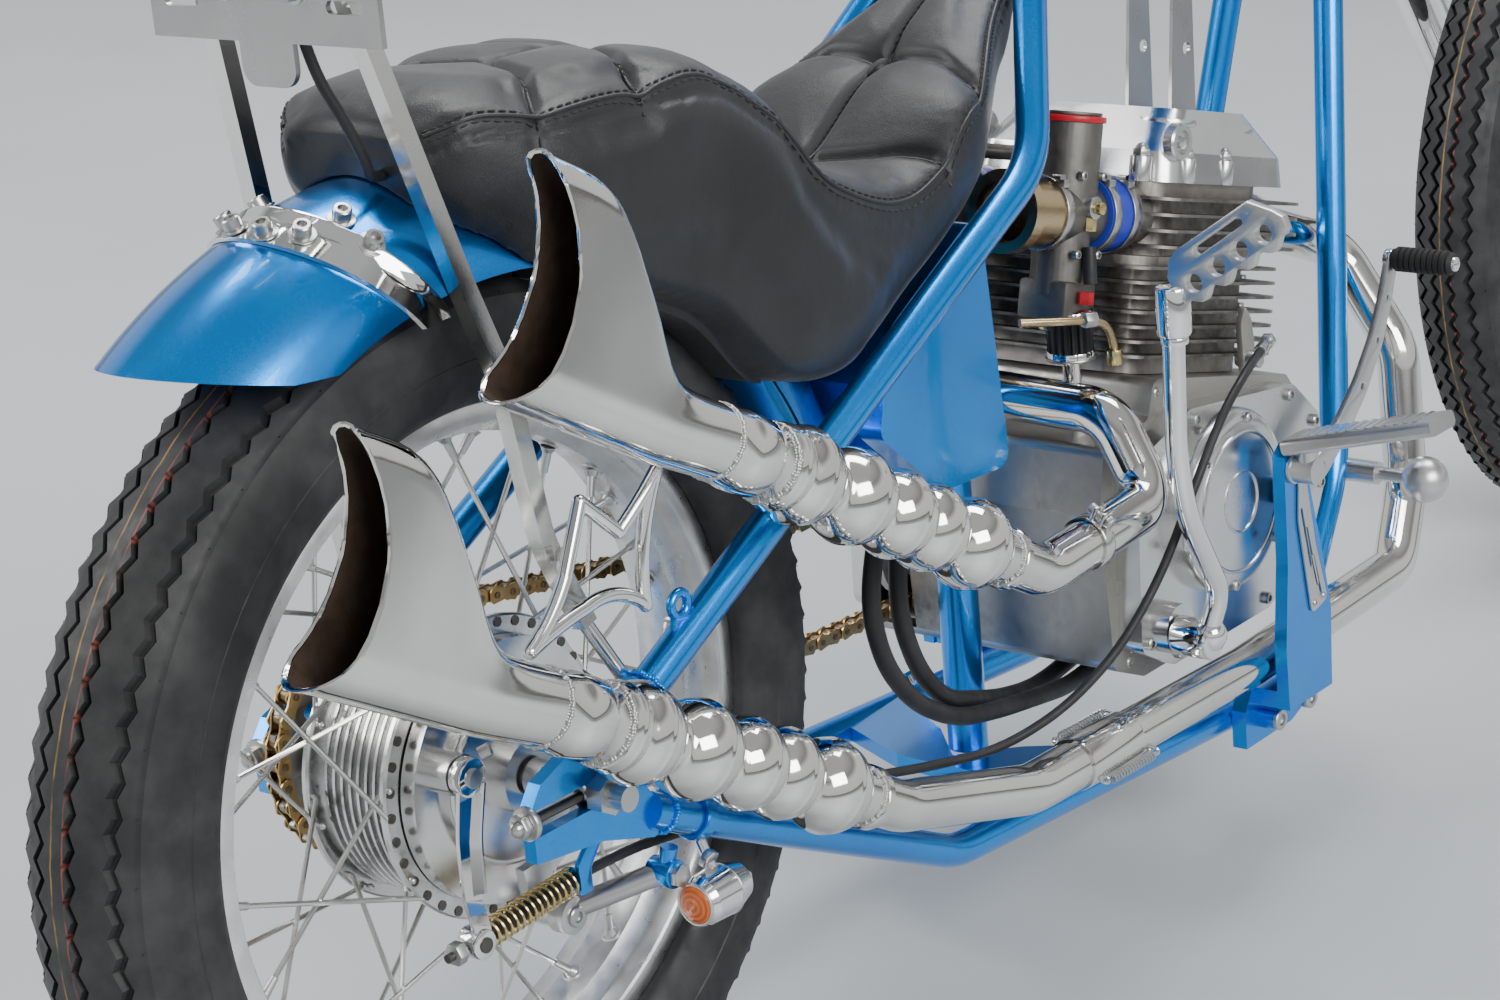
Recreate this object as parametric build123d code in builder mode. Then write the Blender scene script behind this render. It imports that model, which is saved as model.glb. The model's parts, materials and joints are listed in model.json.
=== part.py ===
from build123d import *
import os
from math import asin, atan2, cos, degrees, pi, radians, sin, sqrt, tan

os.makedirs("parts", exist_ok=True)

# A long, rigid-framed chopper parked on its side stand.
# Every piece is drawn with the bike upright: X forward, Y left, Z up, the origin at the
# middle of the rear axle. At the end the whole bike leans over to its left.

LEAN = 6.6                # degrees, towards the side stand

# Wheels
REAR_TYRE_R = 336.0       # tread, from the axle
REAR_TYRE_HALF = 53.5     # half the section width
REAR_CROWN_R = 56.0       # roundness of the tread across
REAR_BEAD_R = 231.0       # where the tyre sits on the rim
REAR_FLANGE_R = 242.5
REAR_RIM_HALF = 37.6
FRONT_TYRE_R = 350.0
FRONT_TYRE_HALF = 41.0
FRONT_CROWN_R = 43.0
FRONT_BEAD_R = 267.0
FRONT_FLANGE_R = 278.0
FRONT_RIM_HALF = 29.0
RIM_WALL = 3.5
FIT = 0.3                 # clearance between curved pieces that meet
SPIN_GAP = 0.1            # a bearing round its axle
BRAKE_GAP = 1.2           # drum mouth to brake plate
SPOKE_R = 2.0

# Steering geometry
RAKE = 36.0               # degrees from upright
NECK_X = 1143.0           # middle of the steering neck
NECK_Z = 600.0
NECK_LENGTH = 150.0
NECK_R = 25.0
WHEELBASE = 1713.0
FRONT_AXLE_Z = FRONT_TYRE_R - REAR_TYRE_R

# Frame
RAIL_R = 12.7             # all the outer tubes
RAIL_Y = 121.0            # stays and lower rails, off the centre plane
BACKBONE_R = 19.0
POST_X = 562.0            # seat post
POST_R = 16.0

# Exhausts
PIPE_R = 18.5
EXHAUST_Y = -170.0        # centre plane of both bulbed tails
TAIL_ANGLE = 29.8         # degrees that the tails rise towards the back

# Fender
FENDER_R = 396.0          # crown, outside
FENDER_HALF = 76.0
FENDER_EDGE_R = 330.0
FENDER_WALL = 3.0

BUILT = []                # every finished piece, in order


def keep(part, label):
    """Name a finished piece and put it on the list."""
    part.label = label
    BUILT.append(part)


def rod(points, bends, radius, inner=0.0):
    """A round tube along straight runs joined by tangent bends."""
    with BuildPart() as tube:
        with BuildLine() as path:
            if bends:
                FilletPolyline(*points, radius=bends)
            else:
                Line(*points)
        with BuildSketch(Plane(origin=path.line @ 0, z_dir=path.line % 0)):
            Circle(radius)
            if inner:
                Circle(inner, mode=Mode.SUBTRACT)
        sweep()
    return tube.part


def disc(centre, axis, radius, length, inner=0.0, both=False):
    """A round boss, bolt or washer from a centre along an axis."""
    with BuildPart() as boss:
        with BuildSketch(Plane(origin=centre, z_dir=axis)):
            Circle(radius)
            if inner:
                Circle(inner, mode=Mode.SUBTRACT)
        extrude(amount=length, both=both)
    return boss.part


def plate(outline, y_from, y_to, corner=0.0):
    """A flat plate standing fore and aft: an outline in X and Z between two Y planes."""
    with BuildPart() as flat:
        with BuildSketch(Plane.XZ.offset(-y_to)) as face:
            with BuildLine():
                Polyline(*outline, close=True)
            make_face()
            if corner:
                fillet(face.vertices(), corner)
        extrude(amount=y_to - y_from)
    return flat.part


def both_sides(part):
    """The piece and its mirror image on the other side of the bike."""
    return Compound(children=[part, part.mirror(Plane.XZ)])


# Wheels: tyres, rims, hubs and spokes
def tyre(centre, outer_r, half, crown_r, bead_r, flange_r, rim_half, crown_shares):
    """A tyre turned about its axle in a few flat bands, seated on the rim between the flanges."""
    bead_half = rim_half - RIM_WALL - FIT
    crown = [
        (half * share, outer_r - crown_r + sqrt(crown_r ** 2 - (half * share) ** 2)) for share in crown_shares
    ]
    belly_r = (crown[0][1] + flange_r) / 2 + 4
    side = [(bead_half, bead_r + FIT), (bead_half, flange_r + 3 * FIT), (half, belly_r)] + crown
    with BuildPart() as ring:
        with BuildSketch(Plane(origin=centre, x_dir=(0, 1, 0), z_dir=(-1, 0, 0))):
            with BuildLine():
                Polyline(*side, *[(-y, r) for y, r in reversed(side) if y], close=True)
            make_face()
        revolve(axis=Axis(centre, (0, 1, 0)))
    return ring.part


def rim(centre, bead_r, flange_r, rim_half, well_depth):
    """A rim channel with upright flanges and a dropped centre."""
    inner_half = rim_half - RIM_WALL
    with BuildPart() as ring:
        with BuildSketch(Plane(origin=centre, x_dir=(0, 1, 0), z_dir=(-1, 0, 0))):
            with BuildLine():
                Polyline(
                    (-rim_half, flange_r),
                    (-inner_half, flange_r),
                    (-inner_half, bead_r),
                    (inner_half, bead_r),
                    (inner_half, flange_r),
                    (rim_half, flange_r),
                    (rim_half, bead_r - RIM_WALL),
                    (rim_half * 0.55, bead_r - RIM_WALL),
                    (rim_half * 0.35, bead_r - well_depth),
                    (-rim_half * 0.35, bead_r - well_depth),
                    (-rim_half * 0.55, bead_r - RIM_WALL),
                    (-rim_half, bead_r - RIM_WALL),
                    close=True,
                )
            make_face()
        revolve(axis=Axis(centre, (0, 1, 0)))
    return ring.part


def spokes(centre, count, hub_r, hub_half, rim_r, rim_spread, cross):
    """Crossed spokes from two hub flanges to the rim, as slim six-sided wires."""
    wires = []
    for number in range(count):
        side = 1 if number % 2 else -1
        lean = cross if (number // 2) % 2 else -cross
        rim_angle = radians(360 * number / count)
        hub_angle = rim_angle + radians(lean)
        start = Vector(hub_r * cos(hub_angle), side * hub_half, hub_r * sin(hub_angle)) + centre
        end = Vector(rim_r * cos(rim_angle), side * rim_spread, rim_r * sin(rim_angle)) + centre
        with BuildPart() as wire:
            with BuildSketch(Plane(origin=start, z_dir=end - start)):
                RegularPolygon(SPOKE_R, 6)
            extrude(amount=(end - start).length)
        wires.append(wire.part)
    return wires


REAR_AXLE = Vector(0, 0, 0)
FRONT_AXLE = Vector(WHEELBASE, 0, FRONT_AXLE_Z)
AXLE_R = 8.5
WELL_DEPTH = 14.0
REAR_SPOKES = 36
FRONT_SPOKES = 36
CROSS_ANGLE = 38.0

keep(
    tyre(
        REAR_AXLE, REAR_TYRE_R, REAR_TYRE_HALF, REAR_CROWN_R, REAR_BEAD_R, REAR_FLANGE_R, REAR_RIM_HALF,
        [0.88, 0.52, 0.0],
    ),
    "rear_tyre",
)
keep(rim(REAR_AXLE, REAR_BEAD_R, REAR_FLANGE_R, REAR_RIM_HALF, WELL_DEPTH), "rear_rim")

# Rear hub: a full-width brake drum, finned between its spoke flanges
DRUM_R = 92.0
DRUM_RIGHT = -36.0        # drum mouth
DRUM_LEFT = 40.0
HUB_FLANGE_R = 101.0
HUB_FLANGE_WALL = 6.0
HUB_NOSE_R = 34.0
HUB_NOSE_Y = 70.0         # left end of the hub's sprocket carrier
REAR_SPOKE_HALF = 33.0
CARRIER_R = 62.0
CHAIN_Y = 88.0
SPROCKET_WALL = 7.0

with BuildPart() as rear_hub:
    with BuildSketch(Plane(origin=(0, 0, 0), x_dir=(0, 1, 0), z_dir=(-1, 0, 0))):
        with BuildLine():
            Polyline(
                (DRUM_RIGHT, AXLE_R + SPIN_GAP),
                (DRUM_RIGHT, HUB_FLANGE_R),
                (DRUM_RIGHT + HUB_FLANGE_WALL, HUB_FLANGE_R),
                (DRUM_RIGHT + HUB_FLANGE_WALL, DRUM_R),
                (DRUM_LEFT - HUB_FLANGE_WALL, DRUM_R),
                (DRUM_LEFT - HUB_FLANGE_WALL, HUB_FLANGE_R),
                (DRUM_LEFT, HUB_FLANGE_R),
                (DRUM_LEFT, CARRIER_R),
                (HUB_NOSE_Y, CARRIER_R),
                (CHAIN_Y - SPROCKET_WALL / 2, HUB_NOSE_R + 14),
                (CHAIN_Y - SPROCKET_WALL / 2, HUB_NOSE_R),
                (CHAIN_Y + SPROCKET_WALL / 2, HUB_NOSE_R),
                (CHAIN_Y + SPROCKET_WALL / 2, AXLE_R + SPIN_GAP),
                close=True,
            )
        make_face()
    revolve(axis=Axis.Y)
    for wire in spokes(
        REAR_AXLE, REAR_SPOKES, HUB_FLANGE_R - 4, REAR_SPOKE_HALF, REAR_BEAD_R - WELL_DEPTH - 3 * FIT, 9.0, CROSS_ANGLE
    ):
        add(wire)
keep(rear_hub.part, "rear_hub")

# Chain drive on the left
PITCH = 15.875
REAR_TEETH = 30
FRONT_TEETH = 17
REAR_PITCH_R = PITCH / 2 / sin(pi / REAR_TEETH)
FRONT_PITCH_R = PITCH / 2 / sin(pi / FRONT_TEETH)
FRONT_SPROCKET = (612.0, -62.0)
CHAIN_HEIGHT = 14.5
CHAIN_WIDTH = 19.0

with BuildPart() as rear_sprocket:
    with BuildSketch(Plane.XZ.offset(-CHAIN_Y)):
        Circle(REAR_PITCH_R - CHAIN_HEIGHT / 2 - FIT)
        Circle(HUB_NOSE_R + FIT / 3, mode=Mode.SUBTRACT)
        with PolarLocations((HUB_NOSE_R + REAR_PITCH_R) / 2, 6):
            Circle(7.0, mode=Mode.SUBTRACT)
    extrude(amount=SPROCKET_WALL / 2, both=True)
keep(rear_sprocket.part, "rear_sprocket")


def chain_loop(offset):
    """The closed line round both sprockets, some way outside their pitch circles."""
    front_x, front_z = FRONT_SPROCKET
    fall = atan2(front_z, front_x)
    wrap = asin((REAR_PITCH_R - FRONT_PITCH_R) / sqrt(front_x ** 2 + front_z ** 2))
    rear_r = REAR_PITCH_R + offset
    front_r = FRONT_PITCH_R + offset
    up = fall + pi / 2 - wrap
    down = fall - pi / 2 + wrap
    top_rear = (rear_r * cos(up), rear_r * sin(up))
    low_rear = (rear_r * cos(down), rear_r * sin(down))
    top_front = (front_x + front_r * cos(up), front_z + front_r * sin(up))
    low_front = (front_x + front_r * cos(down), front_z + front_r * sin(down))
    nose = (front_x + front_r * cos(fall), front_z + front_r * sin(fall))
    with BuildSketch(Plane.XZ.offset(-CHAIN_Y)) as loop:
        with BuildLine():
            Line(top_rear, top_front)
            ThreePointArc(top_front, nose, low_front)
            Line(low_front, low_rear)
            ThreePointArc(low_rear, (-rear_r * cos(fall), -rear_r * sin(fall)), top_rear)
        make_face()
    return loop.sketch


with BuildPart() as chain:
    extrude(chain_loop(CHAIN_HEIGHT / 2), amount=CHAIN_WIDTH / 2, both=True)
    extrude(chain_loop(-CHAIN_HEIGHT / 2), amount=CHAIN_WIDTH / 2, both=True, mode=Mode.SUBTRACT)
keep(chain.part, "chain")

# Front wheel
FRONT_HUB_R = 34.0
FRONT_HUB_FLANGE_R = 52.0
FRONT_HUB_HALF = 36.0
FRONT_AXLE_HALF = 88.0
DISC_R = 130.0
DISC_WALL = 5.0
DISC_Y = 50.0

keep(
    tyre(
        FRONT_AXLE, FRONT_TYRE_R, FRONT_TYRE_HALF, FRONT_CROWN_R, FRONT_BEAD_R, FRONT_FLANGE_R, FRONT_RIM_HALF,
        [0.84, 0.24],
    ),
    "front_tyre",
)
keep(rim(FRONT_AXLE, FRONT_BEAD_R, FRONT_FLANGE_R, FRONT_RIM_HALF, WELL_DEPTH - 3), "front_rim")
with BuildPart() as front_hub:
    with BuildSketch(Plane(origin=FRONT_AXLE, x_dir=(0, 1, 0), z_dir=(-1, 0, 0))):
        with BuildLine():
            Polyline(
                (-62, AXLE_R + SPIN_GAP),
                (-62, 20),
                (-FRONT_HUB_HALF, 26),
                (-FRONT_HUB_HALF, FRONT_HUB_FLANGE_R),
                (-FRONT_HUB_HALF + 5, FRONT_HUB_FLANGE_R),
                (-FRONT_HUB_HALF + 7, FRONT_HUB_R),
                (FRONT_HUB_HALF - 7, FRONT_HUB_R),
                (FRONT_HUB_HALF - 5, FRONT_HUB_FLANGE_R),
                (DISC_Y - DISC_WALL / 2 - FIT / 3, FRONT_HUB_FLANGE_R),
                (DISC_Y - DISC_WALL / 2 - FIT / 3, 26),
                (62, 20),
                (62, AXLE_R + SPIN_GAP),
                close=True,
            )
        make_face()
    revolve(axis=Axis(FRONT_AXLE, (0, 1, 0)))
    for wire in spokes(
        FRONT_AXLE,
        FRONT_SPOKES,
        FRONT_HUB_FLANGE_R - 4,
        FRONT_HUB_HALF - 3,
        FRONT_BEAD_R - WELL_DEPTH + 3 - 3 * FIT,
        6.0,
        CROSS_ANGLE + 10,
    ):
        add(wire)
keep(front_hub.part, "front_hub")

with BuildPart() as front_disc:
    with BuildSketch(Plane.XZ.offset(-DISC_Y)):
        with Locations((FRONT_AXLE.X, FRONT_AXLE.Z)):
            Circle(DISC_R)
            Circle(28.0, mode=Mode.SUBTRACT)
        with Locations((FRONT_AXLE.X, FRONT_AXLE.Z)):
            with PolarLocations(80.0, 6):
                SlotOverall(44, 20, mode=Mode.SUBTRACT)
    extrude(amount=DISC_WALL / 2, both=True)
keep(front_disc.part, "front_disc")

# Frame tubes
NECK = Vector(NECK_X, 0, NECK_Z)
STEER_UP = Vector(-sin(radians(RAKE)), 0, cos(radians(RAKE)))
STEER_AHEAD = Vector(cos(radians(RAKE)), 0, sin(radians(RAKE)))


def fork_point(ahead, y, up):
    """A point in the fork's own frame: ahead of the steering axis, left, and up along it."""
    return NECK + STEER_AHEAD * ahead + STEER_UP * up + Vector(0, y, 0)


BACKBONE_REAR = (690.0, 0, 512.0)
NECK_TUBE = disc(fork_point(0, 0, -NECK_LENGTH / 2), STEER_UP, NECK_R, NECK_LENGTH)
with BuildPart() as backbone:
    add(NECK_TUBE)
    add(rod([BACKBONE_REAR, fork_point(0, 0, 30)], [], BACKBONE_R))
keep(backbone.part, "backbone")

UPPER_RAIL = [(46.0, RAIL_Y, 42.0), (525.0, RAIL_Y, 289.0), (697.0, 14.0, 514.0)]
UPPER_BEND = [110.0]
with BuildPart() as upper_rails:
    add(rod(UPPER_RAIL, UPPER_BEND, RAIL_R))
    add(rod([BACKBONE_REAR, fork_point(0, 0, 30)], [], BACKBONE_R + FIT / 3), mode=Mode.SUBTRACT)
UPPER_RAIL_LEFT = upper_rails.part.solids().sort_by(SortBy.VOLUME)[-1]
keep(both_sides(UPPER_RAIL_LEFT), "upper_rails")

CORNER = (842.0, RAIL_Y, -225.0)
KNEE = (995.0, 90.0, -83.0)
SPLICE = tuple(c + (k - c) * 0.45 for c, k in zip(CORNER, KNEE))
LOWER_RAIL = [(48.0, RAIL_Y, -32.0), (372.0, RAIL_Y, -190.0), CORNER, SPLICE]
LOWER_BENDS = [90.0, 60.0]
keep(both_sides(rod(LOWER_RAIL, LOWER_BENDS, RAIL_R)), "lower_rails")

DOWNTUBE = [SPLICE, KNEE, (1141.0, 20.0, 588.0)]
with BuildPart() as downtubes:
    add(rod(DOWNTUBE, [110.0], RAIL_R))
    add(disc(fork_point(0, 0, -NECK_LENGTH / 2 - 20), STEER_UP, NECK_R + FIT / 3, NECK_LENGTH + 40), mode=Mode.SUBTRACT)
    add(rod([BACKBONE_REAR, fork_point(0, 0, 30)], [], BACKBONE_R + FIT / 3), mode=Mode.SUBTRACT)
keep(both_sides(downtubes.part.solids().sort_by(SortBy.VOLUME)[-1]), "downtubes")

# Axle plates: slotted forks that close the stays, with adjuster caps at their ends
PLATE_WALL = 10.0
AXLE_PLATE = [(-62, 11), (-52, 24), (8, 46), (44, 62), (62, 50), (44, 20), (44, -12), (64, -40), (48, -50), (0, -34),
              (-62, -26)]
SLOT_R = AXLE_R + 0.5
with BuildPart() as axle_plate:
    with BuildSketch(Plane.XZ.offset(-RAIL_Y - PLATE_WALL / 2)):
        with BuildLine():
            Polyline(*AXLE_PLATE, close=True)
        make_face()
        with Locations((-40, 0)):
            SlotOverall(100, 2 * SLOT_R, mode=Mode.SUBTRACT)
    extrude(amount=PLATE_WALL)
    add(rod(UPPER_RAIL, UPPER_BEND, RAIL_R + FIT / 3), mode=Mode.SUBTRACT)
    add(rod(LOWER_RAIL, LOWER_BENDS, RAIL_R + FIT / 3), mode=Mode.SUBTRACT)
keep(both_sides(axle_plate.part), "axle_plates")

AXLE_HALF = RAIL_Y + PLATE_WALL / 2 + 26
with BuildPart() as rear_axle:
    add(disc((0, -AXLE_HALF, 0), (0, 1, 0), AXLE_R, 2 * AXLE_HALF))
    for side in (1, -1):
        face = side * (RAIL_Y + PLATE_WALL / 2 + FIT / 3)
        with BuildSketch(Plane(origin=(0, face, 0), z_dir=(0, side, 0))):
            RegularPolygon(14, 6)
        extrude(amount=12)
        add(disc((0, side * (RAIL_Y - PLATE_WALL / 2 - FIT / 3), 0), (0, -side, 0), 13, 18 if side > 0 else 44))
keep(rear_axle.part, "rear_axle")

# Seat post, the lower cross plate and the cross tube under the seat
CROSS_Z = -204.0
CROSS_X = 600.0
with BuildPart() as seat_post:
    add(disc((POST_X, 0, CROSS_Z + 6), (0, 0, 1), POST_R, 268.0 - CROSS_Z))
    with BuildSketch(Plane.XY.offset(CROSS_Z - 6)):
        with BuildLine():
            Polyline(
                (CROSS_X + 30, RAIL_Y),
                (CROSS_X - 20, 40),
                (CROSS_X - 60, 0),
                (CROSS_X - 20, -40),
                (CROSS_X + 30, -RAIL_Y),
                (CROSS_X - 45, -RAIL_Y),
                (CROSS_X - 80, -40),
                (CROSS_X - 80, 40),
                (CROSS_X - 45, RAIL_Y),
                close=True,
            )
        make_face()
    extrude(amount=12)
    add(rod([(POST_X, -RAIL_Y, 290), (POST_X, RAIL_Y, 290)], [], 11.0))
    add(both_sides(rod(UPPER_RAIL, UPPER_BEND, RAIL_R + FIT / 3)), mode=Mode.SUBTRACT)
    add(both_sides(rod(LOWER_RAIL, LOWER_BENDS, RAIL_R + FIT / 3)), mode=Mode.SUBTRACT)
keep(seat_post.part.solids().sort_by(SortBy.VOLUME)[-1], "seat_post")


# Engine: an air-cooled twin whose cylinders lean forward
TILT = 14.0
BASE = Vector(765.0, 0, 66.0)      # middle of the cylinder base
CYL_UP = Vector(sin(radians(TILT)), 0, cos(radians(TILT)))
CYL_FRONT = Vector(cos(radians(TILT)), 0, -sin(radians(TILT)))


def cylinder_plane(up):
    """A plane square to the cylinders, some way up from their base."""
    return Plane(origin=BASE + CYL_UP * up, x_dir=CYL_FRONT, z_dir=CYL_UP)


def engine_point(front, y, up):
    """A point in the cylinders' own frame."""
    return BASE + CYL_FRONT * front + CYL_UP * up + Vector(0, y, 0)


CASE_HALF = 118.0
CASE = [(600, -128), (640, -146), (800, -146), (872, -118), (905, -60), (900, 5), (872, 39), (674, 88), (664, 58),
        (600, 52), (590, 0)]
SPROCKET_BAY = [(560, -122), (674, -122), (674, 0), (560, 0)]
BAY_Y = 72.0
with BuildPart() as crankcase:
    add(plate(CASE, -CASE_HALF, CASE_HALF))
    fillet(crankcase.edges().filter_by(Axis.Y), 9)
    add(plate(SPROCKET_BAY, BAY_Y, CASE_HALF + 1, corner=20), mode=Mode.SUBTRACT)
    add(disc((FRONT_SPROCKET[0], BAY_Y, FRONT_SPROCKET[1]), (0, 1, 0), 20, CHAIN_Y - BAY_Y))
    add(disc(
        (FRONT_SPROCKET[0], CHAIN_Y - SPROCKET_WALL / 2, FRONT_SPROCKET[1]),
        (0, 1, 0),
        FRONT_PITCH_R - CHAIN_HEIGHT / 2 - FIT,
        SPROCKET_WALL,
    ))
keep(crankcase.part, "crankcase")

COVER = [(606, -112), (650, -136), (796, -136), (862, -108), (892, -55), (886, 4), (846, 40), (690, 62), (612, 40)]
COVER_DEPTH = 22.0
CLUTCH = (727.0, -22.0)
CLUTCH_R = 74.0
CLUTCH_DEPTH = 42.0
STARTER = (634.0, -98.0)
with BuildPart() as right_cover:
    add(plate(COVER, -CASE_HALF - COVER_DEPTH, -CASE_HALF, corner=14))
    add(disc((CLUTCH[0], -CASE_HALF, CLUTCH[1]), (0, -1, 0), CLUTCH_R, CLUTCH_DEPTH))
    fillet(right_cover.faces().sort_by(Axis.Y)[0].edges(), 12)
    add(disc((STARTER[0], -CASE_HALF, STARTER[1]), (0, -1, 0), 20, 40))
with BuildPart() as left_cover:
    add(plate(COVER, CASE_HALF, CASE_HALF + COVER_DEPTH, corner=14))
    add(disc((800, CASE_HALF, -22), (0, 1, 0), 66, CLUTCH_DEPTH))
    fillet(left_cover.faces().sort_by(Axis.Y)[-1].edges(), 10)
    add(plate([(596, -130), (690, -130), (690, 20), (596, 20)], CASE_HALF - 40, CASE_HALF + 1, corner=20),
        mode=Mode.SUBTRACT)
keep(Compound(children=[right_cover.part, left_cover.part]), "engine_covers")

FIN_PITCH = 11.5
FIN_WALL = 2.4
BARREL_TOP = 92.0
BARREL_FINS = 7
with BuildPart() as cylinder:
    with BuildSketch(cylinder_plane(FIT / 3)):
        RectangleRounded(178, 186, 30)
    extrude(amount=BARREL_TOP)
    for number in range(BARREL_FINS):
        with BuildSketch(cylinder_plane(14 + number * FIN_PITCH)):
            RectangleRounded(218, 216, 16)
        extrude(amount=FIN_WALL)
keep(cylinder.part, "cylinder")

HEAD_TOP = 150.0
HEAD_FINS = 4
HEAD_SHIFT = 34.0
HEAD_LENGTH = 214.0
PORT_Y = 50.0
PORT_UP = 116.0
INTAKE_UP = 122.0
with BuildPart() as cylinder_head:
    with BuildSketch(cylinder_plane(BARREL_TOP + FIT / 3 + FIT / 3)) as block:
        with Locations((HEAD_SHIFT / 2, 0)):
            RectangleRounded(172, 176, 26)
    extrude(amount=HEAD_TOP - BARREL_TOP)
    for number in range(HEAD_FINS):
        with BuildSketch(cylinder_plane(BARREL_TOP + 7 + number * 12.5)):
            with Locations((HEAD_SHIFT, 0)):
                RectangleRounded(HEAD_LENGTH, 212, 18)
        extrude(amount=FIN_WALL)
    for side in (1, -1):
        add(disc(engine_point(90, side * PORT_Y, PORT_UP), CYL_FRONT, 27, 51))
        add(disc(engine_point(-60, side * (PORT_Y + 8), INTAKE_UP), CYL_FRONT * -1, 27, 20))
keep(cylinder_head.part, "cylinder_head")

COVER_TABLE = [            # up from the base, front-to-back length, width, shift forward
    (HEAD_TOP + FIT, 196.0, 190.0, HEAD_SHIFT),
    (HEAD_TOP + 24.0, 190.0, 184.0, HEAD_SHIFT),
    (HEAD_TOP + 58.0, 120.0, 150.0, HEAD_SHIFT),
]
with BuildPart() as head_cover:
    for up, length, width, shift in COVER_TABLE:
        with BuildSketch(cylinder_plane(up)):
            with Locations((shift, 0)):
                RectangleRounded(length, width, 22)
    loft(ruled=True)
    for front, y in ((78, -58), (78, 58), (-12, -58), (-12, 58)):
        add(disc(engine_point(front, y, HEAD_TOP + 20), CYL_UP, 24, 26))
        with BuildSketch(Plane(origin=engine_point(front, y, HEAD_TOP + 46), x_dir=CYL_FRONT, z_dir=CYL_UP)):
            RegularPolygon(16, 6)
        extrude(amount=8)
keep(head_cover.part, "head_cover")

# Two carburettors behind the head, with their boots and air funnels
INTAKE_Y = PORT_Y + 8
BOOT_START = -80.0 - FIT
CARB_START = -122.0
CARB_END = -172.0
with BuildPart() as boots:
    for side in (1, -1):
        add(disc(engine_point(BOOT_START, side * INTAKE_Y, INTAKE_UP), CYL_FRONT * -1, 29, 41, inner=21))
keep(boots.part, "intake_boots")
with BuildPart() as carbs:
    for side in (1, -1):
        throat = engine_point(CARB_START, side * INTAKE_Y, INTAKE_UP)
        add(disc(throat, CYL_FRONT * -1, 25, CARB_START - CARB_END))
        add(disc(engine_point(-147, side * INTAKE_Y, INTAKE_UP), CYL_UP, 25, 72))
        add(disc(engine_point(-147, side * INTAKE_Y, INTAKE_UP), CYL_UP * -1, 22, 62))
    add(rod([engine_point(-147, -INTAKE_Y, 165), engine_point(-147, INTAKE_Y, 165)], [], 6))
keep(carbs.part, "carburettors")
with BuildPart() as funnels:
    for side in (1, -1):
        start = engine_point(CARB_END - FIT / 3, side * INTAKE_Y, INTAKE_UP)
        with BuildSketch(Plane(origin=start, z_dir=CYL_FRONT * -1)):
            Circle(27)
            Circle(22, mode=Mode.SUBTRACT)
        extrude(amount=46)
        with BuildSketch(Plane(origin=start + CYL_FRONT * -46, z_dir=CYL_FRONT * -1)):
            Circle(32)
            Circle(24, mode=Mode.SUBTRACT)
        extrude(amount=12)
keep(funnels.part, "air_funnels")

with BuildPart() as breather:
    add(disc((640, -66, 56.5), (0, 0, 1), 7, 60))
    add(disc((634, -70, 110), (0, 0, 1), 19, 40))
keep(breather.part, "breather")

STEADY = [(868, 254.8), (905, 245.6), (908, 400), (905, 566), (880, 560), (884, 400)]
STEADY_WALL = 3.0
STEADY_IN = BACKBONE_R + FIT
with BuildPart() as head_steady:
    add(plate(STEADY, STEADY_IN, STEADY_IN + STEADY_WALL))
    for height in (300, 345, 390, 435, 480):
        add(disc((895, STEADY_IN - 1, height), (0, 1, 0), 5.5, STEADY_WALL + 2), mode=Mode.SUBTRACT)
keep(both_sides(head_steady.part), "head_steady")

# Exhaust pipes
RIGHT_PORT = engine_point(141 + FIT, -PORT_Y, PORT_UP)
LEFT_PORT = engine_point(141 + FIT, PORT_Y, PORT_UP)
TAIL_BACK = Vector(-cos(radians(TAIL_ANGLE)), 0, sin(radians(TAIL_ANGLE)))
LOWER_TAIL = Vector(217.0, EXHAUST_Y, -78.0)
UPPER_TAIL = Vector(395.0, EXHAUST_Y, 37.0)
LOWER_PIPE = [
    RIGHT_PORT, RIGHT_PORT + CYL_FRONT * 26, (1042, -34, 108), (1087, -46, 88), (1082, -106, 4), (1072, -116, -120),
    (1000, -142, -166), (735, -150, -167), (410, -166, -146), LOWER_TAIL - TAIL_BACK * 38,
    LOWER_TAIL - TAIL_BACK * FIT,
]
LOWER_PIPE_BENDS = [60.0, 200.0, 40.0, 60.0, 60.0, 60.0, 300.0, 110.0, 80.0]
UPPER_PIPE = [
    LEFT_PORT, LEFT_PORT + CYL_FRONT * 48, (972, 144, 104), (800, 156, 90), (644, 152, 88), (606, 60, 86),
    (602, -124, 82), (594, -164, 20), (435, -170, 14.1), UPPER_TAIL - TAIL_BACK * FIT,
]
UPPER_PIPE_BENDS = [42.0, 42.0, 200.0, 60.0, 80.0, 42.0, 32.0, 50.0]


def gentle(points, bends):
    """Limit each bend to what its two runs leave room for."""
    spots = [Vector(p) for p in points]
    fitted = []
    for number, bend in enumerate(bends):
        before = spots[number + 1] - spots[number]
        after = spots[number + 2] - spots[number + 1]
        turn = radians(before.get_angle(after))
        room_before = before.length * (0.9 if number == 0 else 0.46)
        room_after = after.length * (0.9 if number == len(bends) - 1 else 0.46)
        fitted.append(min(bend, min(room_before, room_after) / tan(turn / 2)))
    return fitted


keep(rod(LOWER_PIPE, gentle(LOWER_PIPE, LOWER_PIPE_BENDS), PIPE_R), "lower_exhaust")
keep(rod(UPPER_PIPE, gentle(UPPER_PIPE, UPPER_PIPE_BENDS), PIPE_R), "upper_exhaust")

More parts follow.
